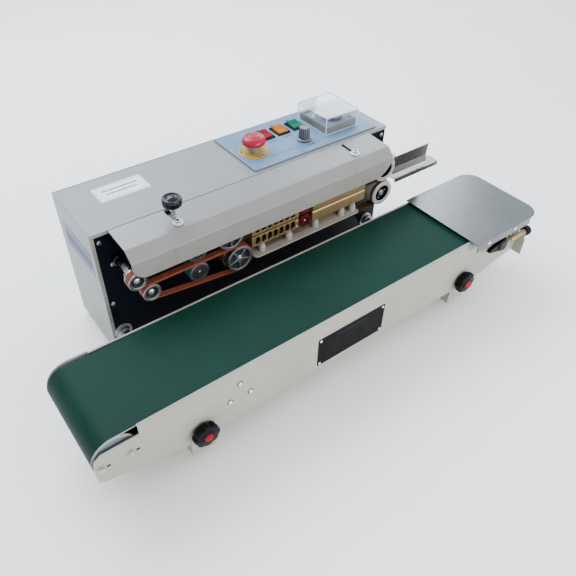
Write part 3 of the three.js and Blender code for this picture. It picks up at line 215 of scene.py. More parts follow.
MAT = {
    "cabinet_paint": surface("cabinet_paint", (0.455, 0.465, 0.45), 0.36, grain=1400, depth=0.03),
    # rail_paint and hood_paint are a lighter and a darker copy of one beige-grey paint: the rail's lighter
    # tone paints the light bounced up from the floor, the hood's darker tone paints the shade and the dark
    # belt's reflection on it
    "rail_paint": surface("rail_paint", (0.60, 0.605, 0.55), 0.42, grain=1400, depth=0.03),
    "hood_paint": surface("hood_paint", (0.40, 0.40, 0.395), 0.3, grain=1400, depth=0.02, gloss=0.35),
    "control_paint": surface("control_paint", (0.22, 0.40, 0.64), 0.34, grain=1200),
    "panel_black": surface("panel_black", (0.008, 0.011, 0.020), 0.2, patch=14, vary=0.3, depth=0.006,
                           gloss=0.1),
    "base_zinc": surface("base_zinc", (0.45, 0.46, 0.46), 0.5, 0.9, patch=60, vary=0.15),
    "foot_rubber": surface("foot_rubber", (0.02, 0.02, 0.02), 0.85, grain=1500, depth=0.08),
    "black_plastic": surface("black_plastic", (0.003, 0.0045, 0.007), 0.36, grain=1800, depth=0.04,
                             gloss=0.1),
    "gloss_black": surface("gloss_black", (0.006, 0.007, 0.014), 0.10, patch=60, depth=0.002, gloss=0.3),
    "rod_chrome": brushed("rod_chrome", (0.92, 0.93, 0.95), 0.2, 1, vary=0.03),
    "motor_metal": surface("motor_metal", (0.16, 0.18, 0.20), 0.5, 0.3, grain=500, depth=0.1),
    "controller_plastic": surface("controller_plastic", (0.33, 0.30, 0.24), 0.5, grain=1500, depth=0.04),
    "dial_white": surface("dial_white", (0.62, 0.70, 0.76), 0.3, grain=1500, depth=0.02),
    "clear_plastic": clear_plastic("clear_plastic", (0.66, 0.86, 1.0)),
    "red_lens": surface("red_lens", (0.42, 0.004, 0.016), 0.3, patch=120, grain=1600, depth=0.01, gloss=0.06),
    "orange_lens": surface("orange_lens", (0.78, 0.23, 0.0005), 0.3, patch=120, grain=1600, depth=0.01,
                           gloss=0.06),
    "green_lens": surface("green_lens", (0.001, 0.21, 0.10), 0.3, patch=120, grain=1600, depth=0.01,
                          gloss=0.06),
    "knob_grey": surface("knob_grey", (0.085, 0.09, 0.11), 0.38, grain=1600, depth=0.03),
    "turned_steel": brushed("turned_steel", (0.80, 0.82, 0.85), 0.3, 1, streak=30),
    "stop_red": surface("stop_red", (0.60, 0.012, 0.055), 0.24, patch=60, grain=1600, depth=0.01, gloss=0.3),
    "belt_orange": ribbed("belt_orange", (0.40, 0.10, 0.05), (0.05, 0.01, 0.006), 0.6, 420, 0),
    "band_brown": surface("band_brown", (0.12, 0.06, 0.035), 0.35, patch=150, vary=0.3, grain=1200,
                          depth=0.06),
    "brass": surface("brass", (0.76, 0.56, 0.27), 0.38, 0.85, patch=60, vary=0.12, grain=1500, depth=0.015),
    "stainless": brushed("stainless", (0.31, 0.305, 0.295), 0.26, 0, vary=0.10),
    "roller_rubber": surface("roller_rubber", (0.006, 0.12, 0.12), 0.5, grain=1500, depth=0.05),
    "silicone_red": surface("silicone_red", (0.12, 0.006, 0.018), 0.35, grain=1500, depth=0.03),
    "infeed_rim": surface("infeed_rim", (0.72, 0.75, 0.76), 0.38, 0.3, grain=1500, depth=0.03),
    "conveyor_green": surface("conveyor_green", (0.007, 0.050, 0.035), 0.45, patch=7, vary=0.22, grain=1100,
                              depth=0.04, gloss=0.055),
    "bed_steel": surface("bed_steel", (0.45, 0.46, 0.46), 0.4, 0.9, patch=50, vary=0.1),
}
YELLOW = surface("ring_yellow", (0.70, 0.44, 0.05), 0.38, grain=1500, depth=0.02)
PAPER = surface("label_white", (0.84, 0.90, 0.95), 0.45, patch=60, vary=0.03, grain=2500, depth=0.01,
                dim=0.85)
INK_BLUE = surface("label_blue", (0.012, 0.03, 0.15), 0.4, patch=60, grain=2500, depth=0.01)
INK_PALE = surface("label_pale_blue", (0.15, 0.22, 0.46), 0.4, patch=60, grain=2500, depth=0.01)
INK_DARK = surface("label_dark", (0.02, 0.03, 0.05), 0.4, patch=60, grain=2500, depth=0.01)
INK_GREY = surface("label_grey", (0.24, 0.30, 0.40), 0.4, patch=60, grain=2500, depth=0.01)
RIM_GREY = surface("panel_rim", (0.36, 0.42, 0.50), 0.35, patch=40, grain=1500, depth=0.02)
RED_CAP = surface("cap_red", (0.42, 0.008, 0.02), 0.3, patch=90, grain=1500, depth=0.02, gloss=0.08)
ZINC = surface("screw_zinc", (0.92, 0.94, 0.96), 0.3, 1.0, patch=200, vary=0.1, grain=2000, depth=0.01)
# painted shade: blue-black lining for the recesses of the drive wheels and guide pulleys
RECESS_SHADE = surface("wheel_recess_painted_shade", (0.012, 0.022, 0.045), 0.25, patch=90, vary=0.3, grain=1500, depth=0.02)
FAINT = surface("plate_print", (0.022, 0.025, 0.03), 0.4, patch=60, grain=2500, depth=0.01, gloss=0.05)
PLATE_BLACK = surface("plate_black", (0.004, 0.005, 0.006), 0.4, patch=60, vary=0.3, grain=2500, depth=0.01,
                      gloss=0.05)
# painted shade: near-black for the insides of recesses, grooves, sockets and slots, and the rings round the
# rail's rivets
SHADE_BLACK = surface("painted_shade_black", (0.004, 0.004, 0.005), 0.6, patch=60, grain=1500, depth=0.02, gloss=0.05)
FACE_GREY = surface("controller_face", (0.34, 0.40, 0.46), 0.4, patch=50, grain=1500, depth=0.02)
# painted highlight: bright bluish tone for the clear cover's lit edges
COVER_EDGE_HIGHLIGHT = surface("cover_edge_painted_highlight", (0.80, 0.95, 1.0), 0.15, patch=60, vary=0.03, grain=1500, depth=0.01,
                    dim=0.95, alpha=0.75)
SATIN = surface("collar_satin", (0.62, 0.58, 0.48), 0.4, 0.8, patch=60, grain=1800, depth=0.02)
SHELF_PAINT = surface("shelf_paint", (0.54, 0.49, 0.43), 0.42, grain=1400, depth=0.03)
# painted highlight: light brass for the bright line along the heating block's top front edge
BRASS_HIGHLIGHT = surface("brass_painted_highlight", (1.0, 0.72, 0.42), 0.3, 0.4, patch=90, grain=1500, depth=0.01, dim=0.9)
# painted sheen: lighter grey for the light caught on the pressure knob's top rim
KNOB_RIM_SHEEN = surface("knob_rim_painted_sheen", (0.10, 0.11, 0.14), 0.3, patch=90, grain=1500, depth=0.02)
# the grey of the speed knob's cap and skirt; on the ribs it paints the light caught on them against the dark
# grip
KNOB_CAP_AND_RIB_LIGHT = surface("knob_cap_grey_and_rib_light", (0.26, 0.28, 0.33), 0.3, 0.3, patch=90, grain=1500, depth=0.02)
BELT_EDGE = surface("belt_edge", (0.55, 0.58, 0.60), 0.6, patch=120, vary=0.15, grain=1500, depth=0.04)


# ---------- mesh helpers, in millimetres of the row frame ----------
def box_mm(node):
    """Lowest and highest corners of a CAD node."""
    low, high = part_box(node)
    return low * 1000, high * 1000


def middle(node):
    """Centre of a CAD node's box, then its two corners."""
    low, high = box_mm(node)
    return (low + high) / 2, low, high


def piece(name, bm, material, body, slot=None, sharp=32, bevel=0.0, segments=2, stands_for=()):
    """A named mesh object from a bmesh in millimetres, with rounded edges, riding on a body."""
    bmesh.ops.remove_doubles(bm, verts=bm.verts, dist=0.001)
    bmesh.ops.recalc_face_normals(bm, faces=bm.faces)
    bmesh.ops.scale(bm, vec=(0.001, 0.001, 0.001), verts=bm.verts)
    mesh = bpy.data.meshes.new(name)
    for face in bm.faces:
        face.smooth = True
    bm.to_mesh(mesh)
    bm.free()
    mesh.set_sharp_from_angle(angle=math.radians(sharp))
    obj = bpy.data.objects.new(name, mesh)
    bpy.context.scene.collection.objects.link(obj)
    mesh.materials.append(material)
    if bevel:
        mod = obj.modifiers.new("edges", "BEVEL")
        mod.width = bevel / 1000
        mod.segments = segments
        mod.limit_method = "ANGLE"
        mod.angle_limit = math.radians(sharp)
        mod.use_clamp_overlap = True
    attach(obj, body)
    if stands_for:
        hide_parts(*stands_for)
    return obj


def refine(node, bevel=0.35, segments=2, sharp=32):
    """The CAD node's own shape as a new piece with rounded edges and its detailed material."""
    bm = bmesh.new()
    bm.from_mesh(frame["nodes"][node].data)
    bmesh.ops.scale(bm, vec=(1000, 1000, 1000), verts=bm.verts)
    bmesh.ops.remove_doubles(bm, verts=bm.verts, dist=0.01)
    bmesh.ops.dissolve_limit(bm, angle_limit=math.radians(0.7), verts=bm.verts, edges=bm.edges)
    slot = SLOT_OF[node]
    return piece(node + "_finished", bm, MAT[slot], BODY_OF[node], slot, sharp, bevel, segments, [node])


def add_prism(bm, points, axis, a, b):
    """Prism along an axis: the outline is in the other two axes, in X, Y, Z order."""
    rows = []
    for h in (a, b):
        row = []
        for point in points:
            spot = list(point)
            spot.insert(axis, h)
            row.append(bm.verts.new(spot))
        rows.append(row)
    add_skin(bm, rows, True)


def add_skin(bm, rows, caps):
    """Faces between rows of vertices, each row a closed ring, with flat caps or as one closed round."""
    pairs = list(zip(rows, rows[1:]))
    if not caps:
        pairs.append((rows[-1], rows[0]))
    n = len(rows[0])
    for one, two in pairs:
        for i in range(n):
            j = (i + 1) % n
            bm.faces.new((one[i], one[j], two[j], two[i]))
    if caps:
        bm.faces.new(rows[0])
        bm.faces.new(rows[-1])


def add_turned(bm, at, axis, rings, steps=64, caps=True):
    """Rings (radius, distance along the axis) about a point; a radius may be a function of angle."""
    rows = []
    for radius, h in rings:
        row = []
        for i in range(steps):
            a = 2 * math.pi * i / steps
            r = radius(a) if callable(radius) else max(radius, 0.01)
            spot = [r * math.cos(a), r * math.sin(a)]
            spot.insert(axis, h)
            row.append(bm.verts.new(Vector(spot) + Vector(at)))
        rows.append(row)
    add_skin(bm, rows, caps)


def turned(name, body, material, at, axis, rings, slot=None, steps=64, caps=True, **options):
    """A turned piece."""
    bm = bmesh.new()
    add_turned(bm, at, axis, rings, steps, caps)
    return piece(name, bm, material, body, slot, **options)


def prism(name, body, material, points, axis, a, b, slot=None, **options):
    """A prism as a piece."""
    bm = bmesh.new()
    add_prism(bm, points, axis, a, b)
    return piece(name, bm, material, body, slot, **options)


def arc(cx, cy, r, start, end, steps):
    """Points of a round stretch, with its start and end in degrees."""
    angles = [math.radians(start + (end - start) * i / steps) for i in range(steps + 1)]
    return [(cx + r * math.cos(a), cy + r * math.sin(a)) for a in angles]


def rounded(x0, x1, y0, y1, r, steps=6):
    """Outline of a rectangle with round corners."""
    return (arc(x1 - r, y1 - r, r, 0, 90, steps) + arc(x0 + r, y1 - r, r, 90, 180, steps)
            + arc(x0 + r, y0 + r, r, 180, 270, steps) + arc(x1 - r, y0 + r, r, 270, 360, steps))


def inset(low, high, by, r):
    """Outline in X and Y of a box with round corners, set in from its sides."""
    return rounded(low[0] + by, high[0] - by, low[1] + by, high[1] - by, r)


def polar(centre, r, degrees):
    """Point at a distance and an angle from a centre."""
    a = math.radians(degrees)
    return centre[0] + r * math.cos(a), centre[1] + r * math.sin(a)


def spoke(centre, degrees, corners):
    """Outline of a bar that points away from a centre, by its corners (distance out, distance sideways)."""
    a = math.radians(degrees)
    out, side = Vector((math.cos(a), math.sin(a))), Vector((-math.sin(a), math.cos(a)))
    return [Vector(centre) + out * r + side * w for r, w in corners]


def lobes(r, depth, count=8, sharpness=1.5):
    """Radius of a lobed grip as a function of angle."""
    return lambda a: r - depth * (0.5 - 0.5 * math.cos(count * a)) ** sharpness


def hexagon(r):
    """Radius of a hexagon across its corners as a function of angle."""
    return lambda a: r * math.cos(math.pi / 6) / math.cos(a % (math.pi / 3) - math.pi / 6)


def cross(r):
    """Radius of a four-pointed screwdriver recess as a function of angle."""
    return lambda a: r * (0.32 + 0.68 * abs(math.cos(2 * a)) ** 3)


def add_screw(bm, at, axis, side, r, h, kind="cross"):
    """Screw, bolt or rivet head that stands on `at` and faces `side` along the axis."""
    def out(rings):
        return [(radius, side * height) for radius, height in rings]
    if kind == "hex":
        washer = [(r * 1.35, 0), (r * 1.35, 0.7), (r * 1.2, 0.9), (r * 0.9, 0.9)]
        nut = [(hexagon(r), 0.5), (hexagon(r), h - 0.4), (hexagon(r * 0.9), h), (0, h)]
        add_turned(bm, at, axis, out(washer), 48)
        add_turned(bm, at, axis, out(nut), 48)
        return
    dome = [(r, 0), (r, h * 0.25), (r * 0.88, h * 0.65), (r * 0.66, h * 0.9)]
    if kind == "rivet":
        add_turned(bm, at, axis, out([*dome, (r * 0.3, h), (0, h)]), 32)
        return
    recess = cross(r * 0.55) if kind == "cross" else hexagon(r * 0.5)
    small = cross(r * 0.4) if kind == "cross" else hexagon(r * 0.5)
    add_turned(bm, at, axis, out([*dome, (recess, h * 0.92), (small, h * 0.3), (0, h * 0.25)]), 48)


def screws(name, body, spots, axis, side, r, h, kind="cross", material=None):
    """One piece holding several alike heads."""
    bm = bmesh.new()
    for spot in spots:
        add_screw(bm, spot, axis, side, r, h, kind)
    return piece(name, bm, material or ZINC, body, "turned_steel", sharp=28)


# ---------- CAD shapes kept as they are, with rounded edges ----------
REFINED = {
    "cabinet_shell": (1.6, 4), "rear_cover": (0.5, 2), "base_plate": (0.3, 1), "feet_front": (1.0, 2),
    "feet_rear": (1.0, 2), "front_panel": (0.4, 2), "power_inlet": (0.6, 2), "slide_rods": (0.8, 2),
    "gear_motor": (2.0, 2), "cooling_fan": (0.8, 2), "guide_belt_lower": (0.3, 2),
    "guide_belt_upper": (0.3, 2), "sealing_band_lower": (0.1, 1), "sealing_band_upper": (0.1, 1),
    "heating_block_lower": (0.8, 3), "heating_block_upper": (0.8, 3), "cooling_block_lower": (0.5, 2),
    "cooling_block_upper": (0.5, 2), "support_plate_lower": (0.5, 2), "support_plate_upper": (0.5, 2),
    "infeed_guide_upper": (0.3, 2), "infeed_guide_lower": (0.3, 2), "hood": (0.35, 2),
    "hood_hanger": (0.3, 2), "control_panel": (0.9, 3), "switch_frame": (0.6, 3),
    "controller_body": (1.2, 3), "conveyor_support": (0.4, 2), "front_rail": (0.35, 2),
    "rear_rail": (0.35, 2), "bed_plate": (0.3, 2), "conveyor_belt": (0.5, 3), "head_roller": (0.6, 2),
    "tail_roller": (0.6, 2), "conveyor_motor": (0.8, 2), "end_table": (0.45, 3), "clear_cover": (1.3, 4),
    "rocker_red": (0.9, 3), "rocker_orange": (0.9, 3), "rocker_green": (0.9, 3), "estop_stem": (0.3, 1),
    "press_wheel_upper": (0.4, 2),
}
for node, (bevel, segments) in REFINED.items():
    refine(node, bevel, segments)
bpy.data.objects["support_plate_lower_finished"].data.materials[0] = SHELF_PAINT

# faces that the pieces stand on
LUG_REACH = 17       # how far the tension lug stands in front of its rail
PANEL_Y = box_mm("front_panel")[0][1]
RAIL_Y = box_mm("front_rail")[0][1] + LUG_REACH
TOP_Z = box_mm("cabinet_shell")[1][2]
PANEL_Z = box_mm("control_panel")[1][2]


# ---------- wheels of the sealing train ----------
def wheel_place(node):
    """Body name, axis point at the wheel's face, and the length from face to shaft end."""
    mid, low, high = middle(node)
    return BODY_OF[node], (mid[0], low[1], mid[2]), high[1] - low[1]


def drive_wheel(node):
    """Wheel with five spokes in front of a recess lined with painted shade, and a nut on its shaft."""
    body, at, end = wheel_place(node)
    turned(node + "_turned", body, MAT["turned_steel"], at, 1, [
        (0, 6), (18.3, 6), (18.3, 0.5), (18.7, 0), (21.7, 0), (22.2, 0.5), (22.2, 13.2), (22.9, 13.2),
        (22.9, 29), (4, 29), (4, end), (0, end),
    ], "turned_steel", 96, stands_for=[node])
    # painted shade: a dark sheet on the recess floor
    turned(node + "_recess", body, RECESS_SHADE, at, 1, [(6, 5.2), (18.25, 5.2), (18.25, 5.9), (6, 5.9)], None, 64,
           False)
    bm = bmesh.new()
    for i in range(5):
        bar = spoke((at[0], at[2]), 54 + 72 * i, [(5, -1.9), (18.6, -1.1), (18.6, 1.1), (5, 1.9)])
        add_prism(bm, bar, 1, at[1] + 0.9, at[1] + 5.5)
    add_turned(bm, at, 1, [(0, 1.0), (6.2, 1.0), (6.8, 1.6), (6.8, 5.5), (0, 5.5)], 48)
    add_turned(bm, at, 1, [(0, 0), (hexagon(3.9), 0), (hexagon(4.4), 0.5), (hexagon(4.4), 1.4), (0, 1.4)], 48)
    add_turned(bm, at, 1, [(0, -0.2), (1.9, -0.2), (2.2, 0.1), (2.2, 0.6), (0, 0.6)], 32)
    piece(node + "_spokes", bm, ZINC, body, "turned_steel", bevel=0.25)


def guide_pulley(node):
    """Flanged pulley with a domed hub in a recess lined with painted shade."""
    body, at, end = wheel_place(node)
    turned(node + "_turned", body, MAT["turned_steel"], at, 1, [
        (0, 5), (9.6, 5), (9.8, 0.7), (10.2, 0.3), (11.4, 0.1), (11.7, 0.6), (12.2, 0.6), (12.5, 0),
        (13.6, 0), (14.1, 0.5), (14.1, 1.2), (13.7, 1.7), (12.7, 1.8), (12.7, 12.2), (13.7, 12.3),
        (14.1, 12.8), (14.1, 14.3), (6, 14.3), (6, 33), (4, 33), (4, end), (0, end),
    ], "turned_steel", 80, stands_for=[node])
    # painted shade: a dark sheet on the recess floor
    turned(node + "_recess", body, RECESS_SHADE, at, 1, [(5.2, 4.4), (9.55, 4.4), (9.55, 4.9), (5.2, 4.9)], None,
           48, False)
    turned(node + "_hub", body, ZINC, at, 1, [
        (0, 0.1), (1.6, 0.2), (2.4, 0.8), (2.6, 1.8), (4.2, 2.4), (4.9, 3.2), (4.9, 5.2), (0, 5.2),
    ], "turned_steel", 48)


def infeed_wheel(node):
    """Pale wheel with a nut and three pins in its recess, and the brown band's track round it."""
    body, at, end = wheel_place(node)
    turned(node + "_turned", body, MAT["infeed_rim"], at, 1, [
        (0, 6), (15, 6), (15.2, 0.8), (15.8, 0), (21.4, 0), (22.4, 0.6), (22.9, 1.6), (22.9, 23), (4, 23),
        (4, end), (0, end),
    ], "infeed_rim", 96, stands_for=[node])
    # painted shade: a black lining on the floor and inner wall of the recess
    turned(node + "_recess", body, SHADE_BLACK, at, 1, [
        (5, 5.0), (14.4, 5.0), (14.6, 1.3), (15.0, 1.3), (15.0, 5.9), (5, 5.9),
    ], None, 64, False)
    bm = bmesh.new()
    add_turned(bm, at, 1, [(0, 2.4), (5.2, 2.4), (5.8, 3.0), (5.8, 5.8), (0, 5.8)], 48)
    nut = hexagon(1.9)
    add_turned(bm, at, 1, [(0, 1.6), (nut, 1.6), (nut, 0.6), (3.2, 0.6), (3.6, 1.0), (3.6, 2.8), (0, 2.8)],
               48)
    for i in range(3):
        x, z = polar((at[0], at[2]), 10.6, 250 + 120 * i)
        add_turned(bm, (x, at[1], z), 1, [(0, 3.8), (1.3, 3.8), (1.6, 4.1), (1.6, 5.8), (0, 5.8)], 24)
    piece(node + "_hub", bm, ZINC, body, "turned_steel")
    turned(node + "_track", body, MAT["band_brown"], at, 1, [
        (22.5, 2.2), (23.2, 2.4), (23.3, 3), (23.3, 7.2), (22.5, 7.6),
    ], "band_brown", 80, False)


def print_wheel(node, tyre):
    """Core with stepped rings on its face and black sheets in its grooves that paint their shade, in a tyre.
    """
    body, at, end = wheel_place(node)
    turned(node + "_core", body, MAT["turned_steel"], at, 1, [
        (0, 0.1), (2.2, 0.2), (2.9, 0.9), (3.0, 2.2), (5.6, 2.2), (5.9, 0.9), (7.7, 0.9), (8.0, 2.4),
        (9.9, 2.4), (10.2, 0.5), (11.8, 0.5), (12.1, 1.6), (12.9, 1.6), (13.2, 0.2), (14.9, 0.2),
        (15.2, 0.5), (15.2, 23.5), (4, 23.5), (4, end), (0, end),
    ], "turned_steel", 80, stands_for=[node])
    # painted shade: a black sheet down in each groove of the face
    for number, (r0, r1, depth) in enumerate(((3.1, 5.5, 2.15), (8.1, 9.8, 2.35), (12.15, 12.85, 1.55))):
        grooves = [(r0, depth - 0.35), (r1, depth - 0.35), (r1, depth), (r0, depth)]
        turned(f"{node}_groove_{number + 1}", body, SHADE_BLACK, at, 1, grooves, None, 48, False)
    turned(node + "_tyre", body, MAT[tyre], at, 1, [
        (15.25, 2.0), (16.3, 2.0), (16.8, 2.5), (16.8, 22.9), (16.3, 23.5), (15.25, 23.5),
    ], tyre, 80, False)


def press_wheel(node):
    """Red wheel with four round grooves and a screw in its face."""
    body, at, end = wheel_place(node)
    rings = [(0, 1.2), (2.0, 1.2), (2.2, 1.8), (4.2, 1.8), (4.6, 0.6)]
    rings += [(6.4, 0.6), (6.8, 1.7), (8.0, 1.7), (8.3, 0.1), (11.2, 0.1)]
    for i in range(4):
        start = 0.8 + i * 5
        rings += [(11.9, start), (11.9, start + 3.6), (10.9, start + 4.1), (10.9, start + 4.5)]
    turned(node + "_grooved", body, MAT["silicone_red"], at, 1, [
        *rings, (11, 20.8), (4, 21), (4, end), (0, end),
    ], "silicone_red", 72, stands_for=[node])
    bm = bmesh.new()
    add_screw(bm, (at[0], at[1] + 1.7, at[2]), 1, -1, 2.1, 1.2)
    piece(node + "_screw", bm, ZINC, body, "turned_steel")


for level in ("lower", "upper"):
    drive_wheel("drive_wheel_" + level)
    guide_pulley("guide_pulley_" + level)
    infeed_wheel("infeed_wheel_" + level)
print_wheel("print_roller_lower", "roller_rubber")
print_wheel("print_wheel_upper", "turned_steel")
press_wheel("press_wheel_lower")

# bushings that carry the pulley shafts out of the black panel
for level in ("lower", "upper"):
    mid, low, high = middle("guide_pulley_" + level)
    spot = (mid[0], PANEL_Y, mid[2])
    turned("pulley_bush_" + level, "cabinet", MAT["gloss_black"], spot, 1, [
        (4.3, -0.2), (9.6, -0.2), (9.8, -0.6), (9.8, -9.4), (9.2, -10.2), (8.2, -11), (6.8, -19),
        (6.2, -24), (4.3, -24),
    ], "gloss_black", 56, False)
    turned("pulley_spacer_" + level, "cabinet", ZINC, spot, 1, [
        (4.15, -24), (5.2, -24), (5.2, -30), (4.15, -30),
    ], "turned_steel", 48, False)

# ---------- blocks, posts and screws on the shelf ----------
SHELF_DEPTH = 16     # from the lower edge of the shelf's flange to its top face
POST_XS = (-39.5, 14.5, 70.5, 128.5, 153.5)
heat_low, heat_high = box_mm("heating_block_lower")
cool_low, cool_high = box_mm("cooling_block_lower")
SHELF_Z = box_mm("support_plate_lower")[0][2] + SHELF_DEPTH
POST_Y = heat_low[1] + 5
POST_TOP = heat_low[2] - 0.4
bm = bmesh.new()
for x in POST_XS:
    add_turned(bm, (x, POST_Y, 0), 2, [
        (4.2, SHELF_Z + 0.1), (5.6, SHELF_Z + 0.1), (5.9, SHELF_Z + 0.6), (5.9, SHELF_Z + 9.4),
        (5.4, SHELF_Z + 10), (4.5, SHELF_Z + 10.2), (4.5, POST_TOP), (4.2, POST_TOP),
    ], 48, False)
piece("shelf_posts", bm, MAT["infeed_rim"], "cabinet", "infeed_rim", sharp=28)

# painted shade: black oval lips on the cooling block's face and black walls down into the slots, larger than
# the round holes, standing in for the dark of the slots; as rings (growth of the outline, depth from the
# block's face)
SLOTS, SLOT_R, SLOT_HALF = 7, 3.8, 6.8
SLOT_RINGS = ((-0.05, 0.6), (0.35, -0.12), (0.75, -0.12), (0.75, 0.6), (0.05, 0.8), (0.05, 9), (-0.05, 9))
for level in ("lower", "upper"):
    low, high = box_mm("cooling_block_" + level)
    pitch = (high[0] - low[0]) / (SLOTS + 1)
    mid_z = (low[2] + high[2]) / 2
    bm = bmesh.new()
    for i in range(SLOTS):
        x = low[0] + (i + 1) * pitch
        rows = []
        for grow, depth in SLOT_RINGS:
            r, half = SLOT_R + grow, SLOT_HALF + grow
            line = arc(x, mid_z + half - r, r, 0, 180, 12) + arc(x, mid_z - half + r, r, 180, 360, 12)
            rows.append([bm.verts.new((u, low[1] + depth, v)) for u, v in line])
        add_skin(bm, rows, False)
    piece("cooling_slots_" + level, bm, SHADE_BLACK, "cabinet")
spots = [(cool_high[0] - 3.4, cool_low[1] - 0.02, cool_low[2] + z) for z in (4, 15)]
screws("cooling_screws", "cabinet", spots, 1, -1, 1.8, 1.0, "socket")
# painted highlight: a strip over the heating block's top front edge, in light brass for the highlight along
# that edge
y, z = heat_low[1], heat_high[2]
bm = bmesh.new()
add_prism(bm, [
    (y - 0.08, z - 2.4), (y - 0.08, z - 0.7), (y + 0.5, z + 0.02), (y + 2.4, z + 0.02), (y + 2.4, z - 0.3),
    (y + 0.5, z - 2.4),
], 0, heat_low[0] + 0.8, heat_high[0] - 0.8)
piece("heating_block_painted_highlight", bm, BRASS_HIGHLIGHT, "cabinet", "brass")

# ---------- hood screws and pressure knob ----------
HOOD_SCREW_Y = 22.5
HOOD_SCREW_X = {"left": -173.5, "right": 160.5}
HOOD_TOP = box_mm("hood")[1][2]
for name, x in HOOD_SCREW_X.items():
    spot = (x, HOOD_SCREW_Y, HOOD_TOP)
    turned(f"hood_washer_{name}", "cabinet", PAPER, spot, 2, [
        (4.0, -1.4), (7.4, -1.4), (7.8, -1.1), (7.8, -0.3), (7.4, 0.05), (4.0, 0.05),
    ], "turned_steel", 56, False)
    turned(f"hood_screw_{name}", "cabinet", ZINC, spot, 2, [
        (3.9, -0.2), (4.5, -0.2), (4.5, 3.2), (4.1, 3.7), (2.7, 3.7), (2.7, 2.9), (3.9, 2.7),
    ], "turned_steel", 48, False)
    # painted shade: a black hexagon filling the screw head's socket
    turned(f"hood_screw_socket_{name}", "cabinet", SHADE_BLACK, spot, 2, [
        (0, 2.6), (hexagon(2.8), 2.6), (hexagon(2.8), 3.1), (0, 3.1),
    ], None, 48)

knob_mid, knob_low, knob_high = middle("pressure_knob")
top = knob_high[2]
at = (knob_mid[0], knob_mid[1], 0)
turned("pressure_knob_stem", "pressure_knob", MAT["rod_chrome"], at, 2, [
    (0, knob_low[2]), (2.8, knob_low[2]), (2.8, top - 17), (0, top - 17),
], "rod_chrome", 40)
KNOB_LOBES = 14
grip = [(lobes(r, depth, KNOB_LOBES), top - down) for r, depth, down in (
    (12.2, 0.3, 15), (13.6, 0.6, 13.4), (14.25, 0.7, 11), (14.25, 0.7, 5.6), (13.9, 0.5, 3.6),
    (13.2, 0.2, 2.4))]
turned("pressure_knob_grip", "pressure_knob", MAT["gloss_black"], at, 2, [
    (0, top - 19.2), (5.4, top - 19.2), (6.4, top - 18.2), (8.4, top - 16.4), *grip, (12.2, top - 1.8),
    (11.2, top - 2.2), (10.4, top - 3.4), (9.6, top - 3.8), (8.6, top - 3.2), (6.4, top - 1.2),
    (3.6, top - 0.2), (0, top),
], "gloss_black", 140, stands_for=["pressure_knob"], sharp=60)
# painted sheen: a lighter grey ring on the glossy black knob's top rim
turned("pressure_knob_rim", "pressure_knob", KNOB_RIM_SHEEN, at, 2, [
    (11.3, top - 2.4), (11.5, top - 2.0), (12.2, top - 1.65), (13.1, top - 2.2), (13.0, top - 2.6),
], "gloss_black", 72, False)

# ---------- control panel ----------
cp_low, cp_high = box_mm("control_panel")


def plate_ring(bm, outer, inner, a, b):
    """Flat ring along Z between two outlines that have as many points."""
    lines = ((outer, a), (outer, b), (inner, b), (inner, a))
    rows = [[bm.verts.new((x, y, z)) for x, y in line] for line, z in lines]
    add_skin(bm, rows, False)


bm = bmesh.new()
plate_ring(bm, inset(cp_low, cp_high, 0.2, 3.2), inset(cp_low, cp_high, 3.6, 1.5),
           PANEL_Z - 0.2, PANEL_Z + 0.15)
piece("control_panel_rim", bm, RIM_GREY, "cabinet", "control_paint", bevel=0.1)


def marks(name, material, body, boxes, axis, face, depth=0.12, slot=None):
    """Thin printed bars: each is a rounded oblong given by its centre, half sizes and corner."""
    bm = bmesh.new()
    for u, v, hu, hv, r in boxes:
        add_prism(bm, rounded(u - hu, u + hu, v - hv, v + hv, r, 4), axis, face, face + depth)
    return piece(name, bm, material, body, slot)


# plain bars stand in for the print in front of the switches and the speed knob
LEGEND = [
    (67.5, 126.4, 8, 0.8, 0.5), (99.8, 127.1, 8, 0.8, 0.5), (132, 127.1, 8, 0.8, 0.5),
    (116, 82, 7, 0.9, 0.6), (62.5, 76.3, 1.0, 1.0, 0.9), (64.5, 88.7, 28, 0.35, 0.3),
]
PRINT_Z = PANEL_Z - 0.02
red_ovals, green_oval = [[(x, 172.2, 4.2, 1.7, 1.6) for x in xs] for xs in ((66, 98), (131,))]
marks("panel_legend", INK_DARK, "cabinet", LEGEND, 2, PRINT_Z)
marks("panel_ovals", RED_CAP, "cabinet", red_ovals, 2, PRINT_Z)
marks("panel_oval_green", MAT["green_lens"], "cabinet", green_oval, 2, PRINT_Z, slot="green_lens")

